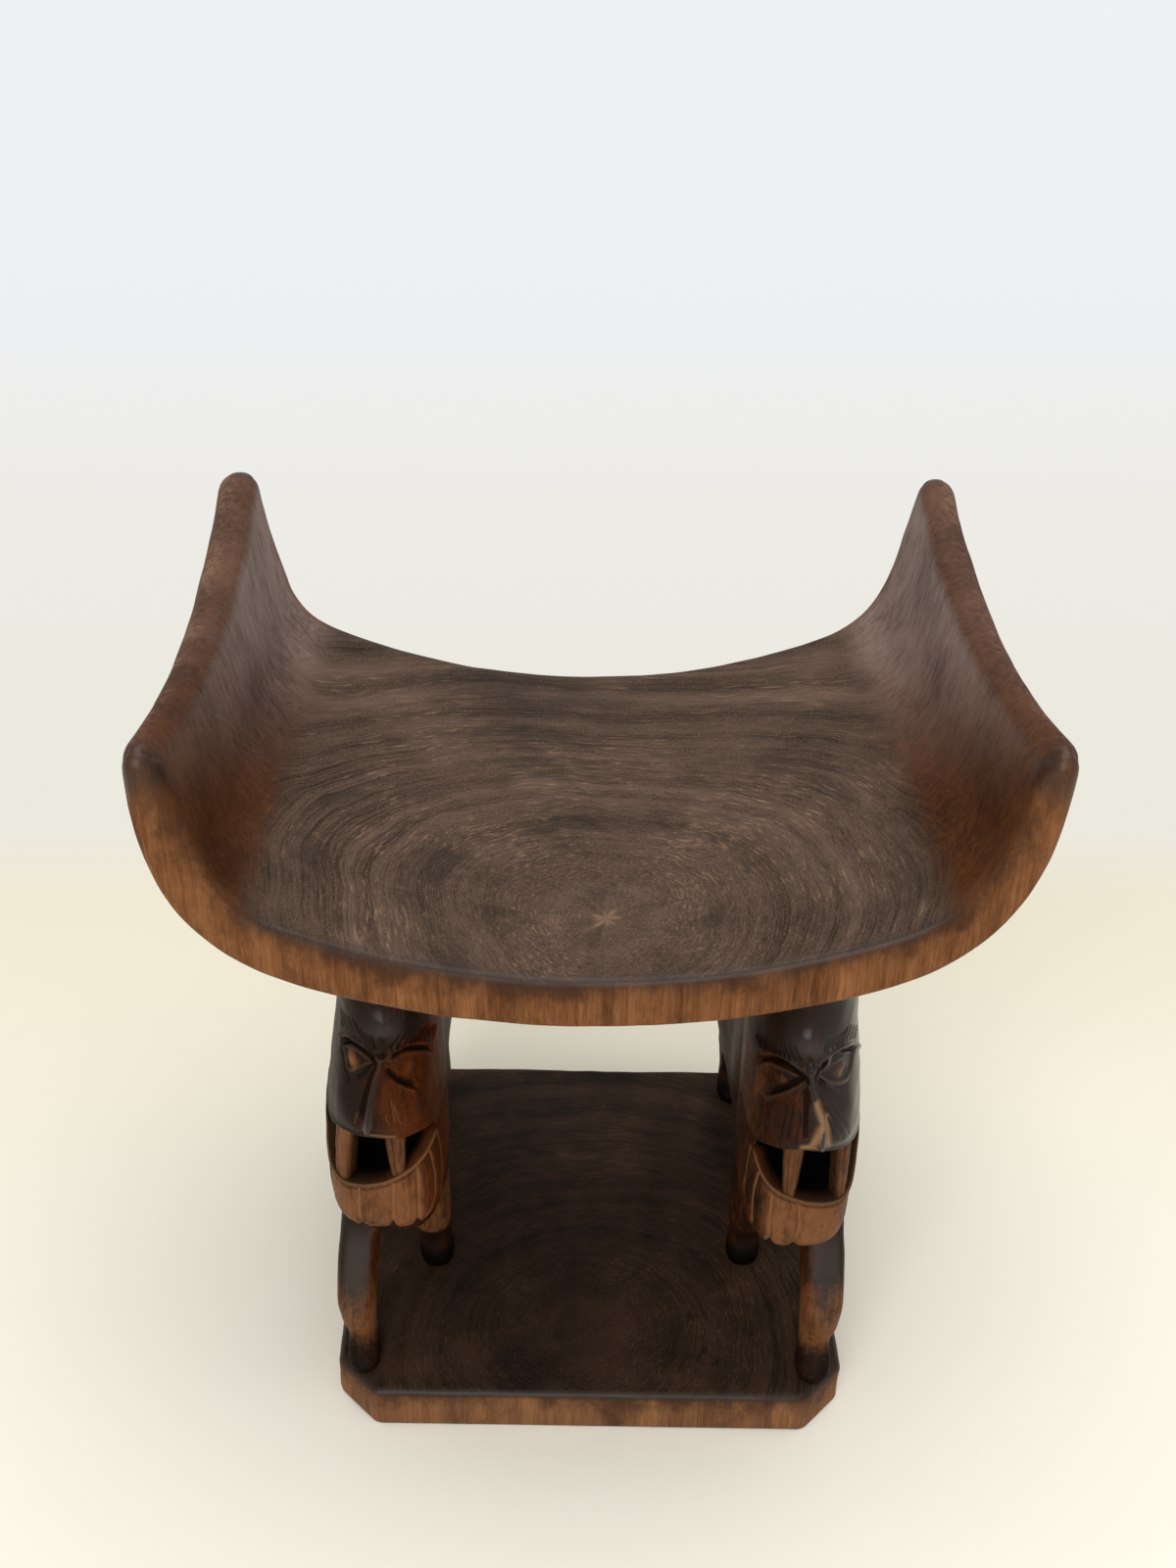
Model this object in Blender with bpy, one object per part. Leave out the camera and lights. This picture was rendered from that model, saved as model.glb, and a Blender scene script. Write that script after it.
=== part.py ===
"""A carved wooden stool: a dished seat with four horned corners on two standing lions and a low base.

The frame is +Z up with the origin on the floor under the middle of the stool. X runs across the seat and
the lions look towards -Y. Lengths are metres.
"""

import math

import bmesh
import bpy
from mathutils import Matrix, Vector

# Fits
JOINT_GAP = 0.0003

# Seat
SEAT_WIDTH = 0.512
SEAT_DEPTH = 0.335
SEAT_HEIGHT = 0.434
SEAT_THICKNESS = 0.0375
DISH_RADIUS = 0.445
HORN_HEIGHT = 0.158
HORN_DIP = 0.022
HORN_REAR_RISE = 0.006
HORN_THICKNESS = 0.018
HORN_LEAN = math.radians(15)
HORN_OUTER_LEAN = math.radians(8)
BEND_RUN = 0.028
BEND_RISE = 0.026
OUTER_BEND_RUN = 0.050
OUTER_BEND_RISE = 0.060
RIGHT_REAR_INSET = 0.010
SEAT_EDGE_ROUND = 0.004

# Base
BASE_WIDTH = 0.361
BASE_DEPTH = 0.328
BASE_SHIFT = 0.003
BASE_THICKNESS = 0.037
BASE_CORNER_CUT = 0.028
BASE_EDGE_ROUND = 0.003

# Lions: LION_SPACING is between the middles of their feet, and the shifts are towards the stool's middle
LION_SPACING = 0.280
LEG_LENGTH = 0.113
NECK_FRONT = -0.060
CHEST_LENGTH = 0.056
CHEST_WIDTH = 0.066
BODY_WIDTH = 0.070
BODY_LENGTH = 0.215
BODY_SHIFT = 0.003
BODY_SQUARENESS = 4.5

# The two lions were carved by eye, and differ in these
LEFT_LION = {"chest_height": 0.053, "jaw_height": 0.097, "mouth_drop": 0.043, "haunch_spread": 0.001}
RIGHT_LION = {"chest_height": 0.033, "jaw_height": 0.102, "mouth_drop": 0.049, "haunch_spread": 0.007}

# Heads
HEAD_WIDTH = 0.075
HEAD_SHIFT = 0.0055
HEAD_SQUARENESS = 3.2
MUZZLE_LENGTH = 0.100
MUZZLE_TURN = 0.008
MOUTH_WIDTH = 0.052
MOUTH_DEPTH = 0.052
EYE_HEIGHT = 0.052
EYE_SPACING = 0.036
EYE_SOCKET = 0.007
EYE_SOCKET_HEIGHT = 0.022
EYE_BULGE = 0.004
EYE_BULGE_HEIGHT = 0.014
NOSE_RIDGE = 0.004
NOSE_RIDGE_WIDTH = 0.007
FANG_SPACING = 0.035
FANG_WIDTH = 0.014
FANG_TAPER = 0.8
FANG_INSET = 0.003
FANG_SEAT = 0.0025

# Legs
LEG_WIDTH = 0.031
LEG_SPACING = 0.048
LEG_LEAN = 0.005
OUTER_FORE_REACH = -0.124
INNER_FORE_REACH = -0.036
INNER_HIND_REACH = 0.146
OUTER_HIND_REACH = 0.068
HIND_SPACING = 0.026

# Stub tenons that join the pieces
LEG_TENON_RADIUS = 0.0065
LEG_TENON_LENGTH = 0.014
SEAT_TENON_WIDTH = 0.024
SEAT_TENON_DEPTH = 0.034
SEAT_TENON_LENGTH = 0.013
SEAT_TENON_SPACING = 0.090
HEAD_TENON_SIZE = 0.022
HEAD_TENON_LENGTH = 0.016

# Mesh fineness
DISH_STEPS = 9
BEND_STEPS = 4
HORN_STEPS = 3
SEAT_STATIONS = 9
FACE_POINTS = 24
FACE_LEVELS = 15
JAW_LEVELS = 7
BODY_POINTS = 16
LEG_SIDES = 12
MOUTH_STEPS = 10
ARCH_STEPS = 6

# The face from the mouth line up, as (height above the mouth, share of the muzzle length) at the middle.
FACE_PROFILE = (
    (0.000, 0.98),
    (0.008, 1.02),
    (0.026, 0.95),
    (0.046, 0.86),
    (0.060, 0.81),
    (0.078, 0.83),
    (0.096, 0.77),
    (0.160, 0.62),
)
# The lower jaw and beard from the lowest point up, as (share of the jaw height, share of the muzzle length).
JAW_PROFILE = ((0.0, 0.76), (0.08, 0.88), (0.30, 0.95), (0.50, 0.97), (1.0, 0.96))
# The body from the belly up, as (share of the way to the top, share of its length, share of its width).
BODY_PROFILE = (
    (0.00, 0.96, 0.98),
    (0.10, 0.99, 1.00),
    (0.28, 1.00, 1.00),
    (0.45, 0.98, 0.96),
    (0.62, 0.92, 0.84),
    (0.80, 0.89, 0.82),
    (1.00, 0.89, 0.90),
)
# Each leg from the base up, as (share of the leg length, forward shift, share of the leg width, depth).
FORE_FORWARD_SHAPE = (
    (0.00, -0.004, 0.90, 0.032),
    (0.09, -0.004, 0.94, 0.034),
    (0.17, 0.001, 0.82, 0.025),
    (0.32, 0.001, 0.88, 0.028),
    (0.53, 0.004, 1.02, 0.034),
    (0.76, 0.018, 1.03, 0.034),
    (1.00, 0.032, 1.03, 0.036),
)
FORE_BACK_SHAPE = (
    (0.00, -0.003, 0.86, 0.030),
    (0.10, -0.003, 0.90, 0.032),
    (0.20, 0.001, 0.82, 0.025),
    (0.40, 0.000, 0.93, 0.031),
    (0.62, 0.002, 1.03, 0.043),
    (1.00, 0.006, 1.03, 0.052),
)
HIND_SHAPE = (
    (0.00, -0.004, 0.90, 0.034),
    (0.10, -0.004, 0.94, 0.036),
    (0.18, 0.004, 0.82, 0.026),
    (0.36, 0.008, 0.86, 0.028),
    (0.60, -0.010, 1.05, 0.046),
    (0.80, -0.020, 1.06, 0.052),
    (1.00, -0.027, 1.03, 0.052),
)

# Places that follow from the sizes above
HORN_TOP = SEAT_HEIGHT + HORN_HEIGHT
BASE_TOP = BASE_THICKNESS
BELLY = BASE_TOP + LEG_LENGTH
OVERSHOOT = 0.02


def material(name, colour, roughness):
    made = bpy.data.materials.new(name)
    made.use_nodes = True
    shader = made.node_tree.nodes["Principled BSDF"]
    shader.inputs["Base Color"].default_value = (*colour, 1.0)
    shader.inputs["Roughness"].default_value = roughness
    shader.inputs["Metallic"].default_value = 0.0
    return made


def make_object(name, bm, finish=None):
    """A new object from a bmesh, with its faces turned outwards. Without a finish it is a hidden cutter."""
    bmesh.ops.recalc_face_normals(bm, faces=bm.faces)
    mesh = bpy.data.meshes.new(name)
    bm.to_mesh(mesh)
    bm.free()
    made = bpy.data.objects.new(name, mesh)
    bpy.context.scene.collection.objects.link(made)
    if finish is None:
        made.hide_render = True
        made.display_type = "WIRE"
    else:
        mesh.materials.append(finish)
        mesh.shade_smooth()
        mesh.set_sharp_from_angle(angle=math.radians(35))
    return made


def combine(target, tool, operation):
    step = target.modifiers.new(f"{operation.lower()} {tool.name}", "BOOLEAN")
    step.operation = operation
    step.object = tool
    step.solver = "EXACT"


def round_edges(target, width, segments, angle):
    step = target.modifiers.new("rounded edges", "BEVEL")
    step.width = width
    step.segments = segments
    step.limit_method = "ANGLE"
    step.angle_limit = angle


def loft(rings):
    """A closed skin over rings of equally many points, with a flat cap on the first and the last ring."""
    bm = bmesh.new()
    loops = [[bm.verts.new(point) for point in ring] for ring in rings]
    for lower, upper in zip(loops, loops[1:]):
        for i in range(len(lower)):
            bm.faces.new((lower[i - 1], lower[i], upper[i], upper[i - 1]))
    bm.faces.new(loops[0])
    bm.faces.new(loops[-1])
    return bm


def prism(outline, axis, start, end):
    """A flat outline of 3-D points pushed from start to end along X or Y."""
    bm = bmesh.new()
    shift = Vector((1, 0, 0)) if axis == "X" else Vector((0, 1, 0))
    face = bm.faces.new([bm.verts.new(Vector(point) + shift * start) for point in outline])
    pushed = bmesh.ops.extrude_face_region(bm, geom=[face])
    moved = [part for part in pushed["geom"] if isinstance(part, bmesh.types.BMVert)]
    bmesh.ops.translate(bm, verts=moved, vec=shift * (end - start))
    return bm


def box(low, high):
    bm = bmesh.new()
    low, high = Vector(low), Vector(high)
    place = Matrix.Translation((low + high) / 2) @ Matrix.Diagonal((*(high - low), 1.0))
    bmesh.ops.create_cube(bm, size=1.0, matrix=place)
    return bm


def peg(centre, radius, low, high):
    """An upright round peg with as many sides as a leg's tenon."""
    bm = bmesh.new()
    place = Matrix.Translation((centre[0], centre[1], (low + high) / 2))
    sizes = {"radius1": radius, "radius2": radius, "depth": high - low}
    bmesh.ops.create_cone(bm, cap_ends=True, segments=LEG_SIDES, matrix=place, **sizes)
    return bm


def between(profile, place):
    """The value at a place along a list of (place, value) points, eased from each point to the next."""
    for (before, first), (after, second) in zip(profile, profile[1:]):
        if place <= after:
            share = max(0.0, (place - before) / (after - before))
            return first + (second - first) * share * share * (3 - 2 * share)
    return profile[-1][1]


def bump(distance, width):
    return math.exp(-((distance / width) ** 2))


def arc_height(x, radius):
    return radius - math.sqrt(radius * radius - x * x)


def bend_line(floor, radius, tip, top, lean, run, rise, steps):
    """One side of the seat's section from its middle out and up to a horn's tip: dish, bend, horn.

    tip is how far out the horn's face is at HORN_TOP, and lean is how it slopes, as a share of its height.
    """

    def horn_face(z):
        return tip - (HORN_TOP - z) * lean

    z = floor
    for _ in range(40):
        z = floor + arc_height(horn_face(z), radius)
    start_x = horn_face(z) - run
    start = Vector((start_x, floor + arc_height(start_x, radius)))
    slope = start_x / math.sqrt(radius * radius - start_x * start_x)
    end_z = z + rise
    end = Vector((horn_face(end_z), end_z))
    # The bend leaves the dish and reaches the horn along their own directions.
    corner_x = (end.x + lean * (start.y - end.y - slope * start.x)) / (1 - lean * slope)
    corner = Vector((corner_x, start.y + slope * (corner_x - start.x)))
    points = []
    for i in range(DISH_STEPS):
        x = start.x * i / DISH_STEPS
        points.append(Vector((x, floor + arc_height(x, radius))))
    for i in range(steps):
        t = i / steps
        points.append(start * (1 - t) ** 2 + corner * 2 * t * (1 - t) + end * t * t)
    for i in range(HORN_STEPS + 1):
        height = end.y + (top - end.y) * i / HORN_STEPS
        points.append(Vector((horn_face(height), height)))
    return points


def underside(x):
    """Height of the seat's underside at a distance from the middle, where the lions meet it."""
    return SEAT_HEIGHT - SEAT_THICKNESS + arc_height(x, DISH_RADIUS + SEAT_THICKNESS)


def seat_section(y):
    """The seat's closed outline in the plane at y. The end edges sink between the corners."""
    share = 2 * y / SEAT_DEPTH
    top = HORN_TOP - HORN_DIP * (1 - share * share) + HORN_REAR_RISE * (1 + share) / 2
    tip = SEAT_WIDTH / 2
    inner_tip = tip - HORN_THICKNESS
    lean = math.tan(HORN_LEAN)
    inner = bend_line(SEAT_HEIGHT, DISH_RADIUS, inner_tip, top, lean, BEND_RUN, BEND_RISE, BEND_STEPS)
    under = SEAT_HEIGHT - SEAT_THICKNESS
    radius = DISH_RADIUS + SEAT_THICKNESS
    lean = math.tan(HORN_OUTER_LEAN)
    outer = bend_line(under, radius, tip, top, lean, OUTER_BEND_RUN, OUTER_BEND_RISE, BEND_STEPS)
    left = [Vector((-point.x, point.y)) for point in outer[1:] + inner[:0:-1]]
    right = []
    for point in inner + outer[::-1]:
        # The right horn leans in towards the back.
        raised = max(0.0, (point.y - SEAT_HEIGHT) / HORN_HEIGHT)
        right.append(Vector((point.x - RIGHT_REAR_INSET * raised * (1 + share) / 2, point.y)))
    return [(point.x, y, point.y) for point in right + left]


def make_seat(finish):
    stations = [SEAT_DEPTH * (i / (SEAT_STATIONS - 1) - 0.5) for i in range(SEAT_STATIONS)]
    seat = make_object("seat", loft([seat_section(y) for y in stations]), finish)
    round_edges(seat, SEAT_EDGE_ROUND, 2, math.radians(50))
    return seat


def make_base(finish):
    front = BASE_SHIFT - BASE_DEPTH / 2
    bm = box((-BASE_WIDTH / 2, front, 0), (BASE_WIDTH / 2, front + BASE_DEPTH, BASE_TOP))
    upright = [edge for edge in bm.edges if abs(edge.verts[0].co.z - edge.verts[1].co.z) > BASE_TOP / 2]
    bmesh.ops.bevel(
        bm, geom=upright, offset=BASE_CORNER_CUT, affect="EDGES", segments=1, profile=0.5, material=-1
    )
    base = make_object("base", bm, finish)
    round_edges(base, BASE_EDGE_ROUND, 2, math.radians(30))
    return base


def seat_room():
    """A cutter of all the room from just under the seat upwards, over the width that the lions take."""
    reach = LION_SPACING / 2 + HEAD_WIDTH
    ceiling = HORN_TOP + OVERSHOOT
    curve = []
    for i in range(2 * DISH_STEPS + 1):
        x = reach * (i / DISH_STEPS - 1)
        curve.append((x, 0.0, underside(x) - JOINT_GAP))
    outline = curve + [(reach, 0.0, ceiling), (-reach, 0.0, ceiling)]
    return make_object("room under the seat", prism(outline, "Y", -SEAT_DEPTH, SEAT_DEPTH))


class Lion:
    """One lion. side is -1 for the left one and 1 for the right one, seen from the front.

    middle is between its feet, trunk is the body's middle, face the head's, and muzzle the mouth's.
    """

    def __init__(self, name, side, own, finishes, seat, base, room):
        self.name = name
        self.side = side
        self.middle = side * LION_SPACING / 2
        self.trunk = self.middle - side * BODY_SHIFT
        self.face = self.middle - side * HEAD_SHIFT
        self.muzzle = self.face + side * MUZZLE_TURN
        self.chest_height = own["chest_height"]
        self.chest_top = BELLY + own["chest_height"]
        self.jaw_height = own["jaw_height"]
        self.mouth_line = self.chest_top + own["jaw_height"]
        self.mouth_drop = own["mouth_drop"]
        self.haunch_spread = own["haunch_spread"]
        self.finishes = finishes
        self.seat = seat
        self.base = base
        self.room = room

    def called(self, piece):
        return f"{self.name}_lion_{piece}"

    def cutter(self, piece, bm):
        return make_object(f"{self.called(piece)} cutter", bm)

    def make(self):
        body = self.make_body()
        head = self.make_head(body)
        jaw = self.make_jaw(body)
        for piece, side in (("outer_fang", self.side), ("inner_fang", -self.side)):
            self.make_fang(piece, side, head, jaw)
        fore = (LEG_SPACING / 2, -LEG_LEAN)
        hind = (HIND_SPACING / 2, self.haunch_spread)
        for piece, side, place, reach, shape in (
            ("outer_fore_leg", self.side, fore, OUTER_FORE_REACH, FORE_FORWARD_SHAPE),
            ("inner_fore_leg", -self.side, fore, INNER_FORE_REACH, FORE_BACK_SHAPE),
            ("outer_hind_leg", self.side, hind, OUTER_HIND_REACH, HIND_SHAPE),
            ("inner_hind_leg", -self.side, hind, INNER_HIND_REACH, HIND_SHAPE),
        ):
            self.make_leg(piece, side, place, reach, shape, body)

    def make_body(self):
        """The trunk from the belly up to the seat, with the chest in front below the jaw."""
        top = underside(LION_SPACING / 2 + BODY_WIDTH / 2) + OVERSHOOT
        rings = []
        for share, length, width in BODY_PROFILE:
            z = BELLY + (top - BELLY) * share
            reach = -BODY_LENGTH * length
            wide = BODY_WIDTH * width
            rings.append(self.half_ring(self.trunk, z, NECK_FRONT, reach, wide, BODY_SQUARENESS))
        body = make_object(self.called("body"), loft(rings), self.finishes["lion"])
        chest = []
        inside = NECK_FRONT + OVERSHOOT
        for z, share in ((BELLY, 0.92), (BELLY + self.chest_height / 2, 1.0), (self.chest_top, 0.98)):
            reach = CHEST_LENGTH * share + OVERSHOOT
            chest.append(self.half_ring(self.trunk, z, inside, reach, CHEST_WIDTH, BODY_SQUARENESS))
        combine(body, self.cutter("chest", loft(chest)), "UNION")
        combine(body, self.room, "DIFFERENCE")
        middle = NECK_FRONT + BODY_LENGTH * BODY_PROFILE[-1][1] / 2
        self.join_to_seat(body, "front", middle - SEAT_TENON_SPACING / 2)
        self.join_to_seat(body, "back", middle + SEAT_TENON_SPACING / 2)
        return body

    def join_to_seat(self, body, place, y):
        """A tenon on top of the body and its mortise in the seat."""
        low = underside(self.trunk) - OVERSHOOT
        high = underside(self.trunk) + SEAT_TENON_LENGTH
        half = Vector((SEAT_TENON_WIDTH / 2, SEAT_TENON_DEPTH / 2))
        for target, operation, grow in ((body, "UNION", 0.0), (self.seat, "DIFFERENCE", JOINT_GAP)):
            corner = Vector((half.x + grow, half.y + grow))
            least = (self.trunk - corner.x, y - corner.y, low - grow)
            most = (self.trunk + corner.x, y + corner.y, high + grow)
            combine(target, self.cutter(f"{place} seat {operation.lower()}", box(least, most)), operation)

    def join_to_body(self, piece, name, body, z):
        """A square tenon on the back of a head or jaw and its mortise in the body."""
        half = HEAD_TENON_SIZE / 2
        back = NECK_FRONT - JOINT_GAP
        for target, operation, grow in ((piece, "UNION", 0.0), (body, "DIFFERENCE", JOINT_GAP)):
            low = (self.face - half - grow, back - OVERSHOOT, z - half - grow)
            high = (self.face + half + grow, NECK_FRONT + HEAD_TENON_LENGTH + grow, z + half + grow)
            combine(target, self.cutter(f"{name} {operation.lower()}", box(low, high)), operation)

    def half_ring(self, middle, z, flat, reach, width, squareness, carve=lambda x: 0.0, points=None):
        """A level cut, flat at y = flat, that swells by reach towards the front, or the back if negative.

        carve(x) is how deep the swollen side is cut at a distance from the ring's middle.
        """
        count = points or BODY_POINTS
        power = 2 / squareness
        ring = []
        for i in range(count + 1):
            turn = math.pi * (i / count - 0.5)
            across = math.copysign(abs(math.sin(turn)) ** power, turn)
            ahead = math.cos(turn) ** power if abs(turn) < math.pi / 2 else 0.0
            x = width / 2 * across
            ring.append((middle + x, flat - reach * ahead + carve(x) * min(1.0, 2 * ahead), z))
        return ring

    def face_ring(self, z, reach, carve=lambda x: 0.0):
        """A level cut through the head or jaw."""
        flat = NECK_FRONT - JOINT_GAP
        return self.half_ring(self.face, z, flat, reach, HEAD_WIDTH, HEAD_SQUARENESS, carve, FACE_POINTS)

    def make_head(self, body):
        """The upper head: muzzle, nose, eyes and forehead, up to the seat."""
        top = FACE_PROFILE[-1][0]
        rings = []
        for i in range(FACE_LEVELS + 1):
            height = top * i / FACE_LEVELS

            def carve(x, height=height):
                eye = abs(x) - EYE_SPACING / 2
                level = height - EYE_HEIGHT
                socket = EYE_SOCKET * bump(eye, EYE_SPACING / 4) * bump(level, EYE_SOCKET_HEIGHT / 2)
                eyeball = EYE_BULGE * bump(eye, EYE_SPACING / 7) * bump(level, EYE_BULGE_HEIGHT / 2)
                slant = (self.muzzle - self.face) * max(0.0, 1 - height / EYE_HEIGHT)
                ridge = NOSE_RIDGE * bump(x - slant, NOSE_RIDGE_WIDTH) * bump(height, EYE_HEIGHT)
                return socket - eyeball - ridge

            reach = MUZZLE_LENGTH * between(FACE_PROFILE, height)
            rings.append(self.face_ring(self.mouth_line + JOINT_GAP + height, reach, carve))
        head = make_object(self.called("head"), loft(rings), self.finishes["lion"])
        combine(head, self.room, "DIFFERENCE")
        self.join_to_body(head, "head tenon", body, self.mouth_line + EYE_HEIGHT)
        return head

    def make_jaw(self, body):
        """The lower jaw and beard, hollowed by a half-moon mouth that opens forwards."""
        rings = []
        for i in range(JAW_LEVELS + 1):
            share = (i / JAW_LEVELS) ** 1.5
            z = self.chest_top + JOINT_GAP + (self.jaw_height - JOINT_GAP) * share
            rings.append(self.face_ring(z, MUZZLE_LENGTH * between(JAW_PROFILE, share)))
        jaw = make_object(self.called("jaw"), loft(rings), self.finishes["lion"])
        outline = []
        for i in range(MOUTH_STEPS + 1):
            turn = math.pi * i / MOUTH_STEPS
            x = self.muzzle - MOUTH_WIDTH / 2 * math.cos(turn)
            outline.append((x, 0.0, self.mouth_line - self.mouth_drop * math.sin(turn)))
        outline.append((self.muzzle + MOUTH_WIDTH / 2, 0.0, self.mouth_line + OVERSHOOT))
        outline.append((self.muzzle - MOUTH_WIDTH / 2, 0.0, self.mouth_line + OVERSHOOT))
        front = NECK_FRONT - MUZZLE_LENGTH
        mouth = prism(outline, "Y", front - OVERSHOOT, front + MOUTH_DEPTH)
        combine(jaw, self.cutter("mouth", mouth), "DIFFERENCE")
        self.join_to_body(jaw, "jaw tenon", body, (self.chest_top + self.mouth_line) / 2)
        return jaw

    def make_fang(self, piece, side, head, jaw):
        """A fang that stands between the lips, seated a little way into both."""
        x = side * FANG_SPACING / 2
        across = 2 * (abs(self.muzzle + x - self.face) + FANG_WIDTH / 2) / HEAD_WIDTH
        lip = MUZZLE_LENGTH * JAW_PROFILE[-1][1] * (1 - across**HEAD_SQUARENESS) ** (1 / HEAD_SQUARENESS)
        y = NECK_FRONT - lip + FANG_INSET
        floor = self.mouth_line - self.mouth_drop * math.sqrt(1 - (2 * x / MOUTH_WIDTH) ** 2)
        low = floor - FANG_SEAT
        high = self.mouth_line + FANG_SEAT

        def shape(grow):
            rings = []
            for z, radius in ((low - grow, FANG_WIDTH / 2 * FANG_TAPER), (high + grow, FANG_WIDTH / 2)):
                ring = []
                for i in range(LEG_SIDES):
                    turn = 2 * math.pi * i / LEG_SIDES
                    reach = radius + grow
                    ring.append((self.muzzle + x + reach * math.cos(turn), y + reach * math.sin(turn), z))
                rings.append(ring)
            return loft(rings)

        make_object(self.called(piece), shape(0.0), self.finishes["fang"])
        socket = self.cutter(piece, shape(JOINT_GAP))
        combine(head, socket, "DIFFERENCE")
        combine(jaw, socket, "DIFFERENCE")

    def make_leg(self, piece, side, place, reach, shape, body):
        """A leg from paw to shoulder, with a round tenon into the base and another into the body.

        place is how far the foot is from the lion's middle and how much further out the shoulder is.
        """

        def across(share):
            return self.middle + side * (place[0] + place[1] * share)

        def ring(share, y, half_width, half_depth, z):
            x = across(share)
            points = []
            for i in range(LEG_SIDES):
                turn = 2 * math.pi * i / LEG_SIDES
                points.append((x + half_width * math.cos(turn), y + half_depth * math.sin(turn), z))
            return points

        foot = BASE_TOP + JOINT_GAP
        length = LEG_LENGTH - 2 * JOINT_GAP
        rings = []
        for share, shift, width, depth in shape:
            half = LEG_WIDTH / 2 * width
            rings.append(ring(share, reach + shift, half, depth / 2, foot + length * share))
        for share, target, way in ((0.0, self.base, -1), (1.0, body, 1)):
            y = reach + shape[0 if way < 0 else -1][1]
            z = foot + length * share
            root = ring(share, y, LEG_TENON_RADIUS, LEG_TENON_RADIUS, z)
            tip = ring(share, y, LEG_TENON_RADIUS, LEG_TENON_RADIUS, z + way * LEG_TENON_LENGTH)
            rings = [tip, root] + rings if way < 0 else rings + [root, tip]
            far = z + way * (LEG_TENON_LENGTH + JOINT_GAP)
            near = z - way * OVERSHOOT
            hole = peg((across(share), y), LEG_TENON_RADIUS + JOINT_GAP, min(far, near), max(far, near))
            combine(target, self.cutter(f"{piece} {'foot' if way < 0 else 'shoulder'}", hole), "DIFFERENCE")
        make_object(self.called(piece), loft(rings), self.finishes["lion"])


def main():
    for old in list(bpy.data.objects):
        bpy.data.objects.remove(old)
    seat = make_seat(material("seat wood", (0.075, 0.044, 0.030), 0.5))
    base = make_base(material("base wood", (0.065, 0.036, 0.022), 0.55))
    finishes = {
        "lion": material("lion wood", (0.110, 0.045, 0.018), 0.4),
        "fang": material("fang wood", (0.200, 0.090, 0.045), 0.45),
    }
    room = seat_room()
    for name, side, own in (("left", -1, LEFT_LION), ("right", 1, RIGHT_LION)):
        Lion(name, side, own, finishes, seat, base, room).make()


if __name__ == "__main__":
    main()
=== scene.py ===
import math

import bmesh
import bpy
import numpy as np
from bpy.props import FloatProperty, FloatVectorProperty, PointerProperty
from mathutils import Matrix, Vector, noise


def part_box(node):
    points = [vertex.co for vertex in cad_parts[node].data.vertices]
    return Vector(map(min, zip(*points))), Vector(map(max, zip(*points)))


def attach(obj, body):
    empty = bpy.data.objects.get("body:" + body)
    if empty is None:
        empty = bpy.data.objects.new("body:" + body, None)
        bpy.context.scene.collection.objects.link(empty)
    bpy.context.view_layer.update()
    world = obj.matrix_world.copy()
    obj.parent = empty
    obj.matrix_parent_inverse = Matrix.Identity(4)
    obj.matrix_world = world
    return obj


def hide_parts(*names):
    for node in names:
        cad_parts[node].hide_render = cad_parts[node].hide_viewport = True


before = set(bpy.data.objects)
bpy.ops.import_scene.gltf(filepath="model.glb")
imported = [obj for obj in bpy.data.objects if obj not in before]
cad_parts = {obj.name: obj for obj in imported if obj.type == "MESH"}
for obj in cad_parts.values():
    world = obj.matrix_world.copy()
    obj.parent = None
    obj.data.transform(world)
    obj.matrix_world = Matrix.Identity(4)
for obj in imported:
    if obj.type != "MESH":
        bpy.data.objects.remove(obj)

bl_info = {
    "name": "Carved Lion Stool",
    "version": (1, 0, 0),
    "blender": (4, 5, 0),
    "location": "3D View > Sidebar > Stool",
    "description": "Carves and finishes a dark wooden stool that stands on two lions",
    "category": "Object",
}

SEAT_LOW, SEAT_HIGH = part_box("seat")
BASE_LOW, BASE_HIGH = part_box("base")
SIDES = {"left": -1, "right": 1}
# How near to a plane or an edge counts as on it, and how far a carving reaches into the piece it stands on.
TOUCH = 1e-6
OVERLAP = 0.001

# The face from the beard's end up to the seat: height over the mouth in mm, share of the muzzle's length.
FACE_PROFILE = (
    (-100, 0.88), (-94, 0.935), (-80, 0.965), (-40, 0.975), (-2, 0.975), (3, 1.0), (10, 1.02), (26, 0.95),
    (46, 0.87), (58, 0.825), (74, 0.835), (96, 0.77), (125, 0.69), (160, 0.62),
)
# What each tool leaves along a stroke: height and half width in mm, how pale or, below zero, how dark it is.
# Below zero the tint is mostly painted shade along the cuts.
CHISELS = {
    # The pale of the brows and lids is partly painted highlight on their ridges.
    "brow": (2.2, 2.2, 0.07),
    "lid_cut": (-3.8, 1.9, -0.95),
    "lid": (1.7, 1.2, 0.12),
    "crease": (-1.7, 1.0, -0.85),
    "comb": (-1.5, 0.85, -0.9),
    "nose": (5.0, 2.9, -0.4),
    "nose_cut": (-2.6, 1.3, -0.85),
    "whisker": (-0.7, 0.6, 0.22),
    "whisker_cut": (-1.0, 0.8, -0.7),
    "chip": (-0.7, 3.0, 0.7),
    "torn": (-0.6, 1.5, 0.4),
    "beard_cut": (-1.8, 1.3, 0.4),
    "mane_cut": (-1.2, 1.1, 0.7),
}
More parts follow.
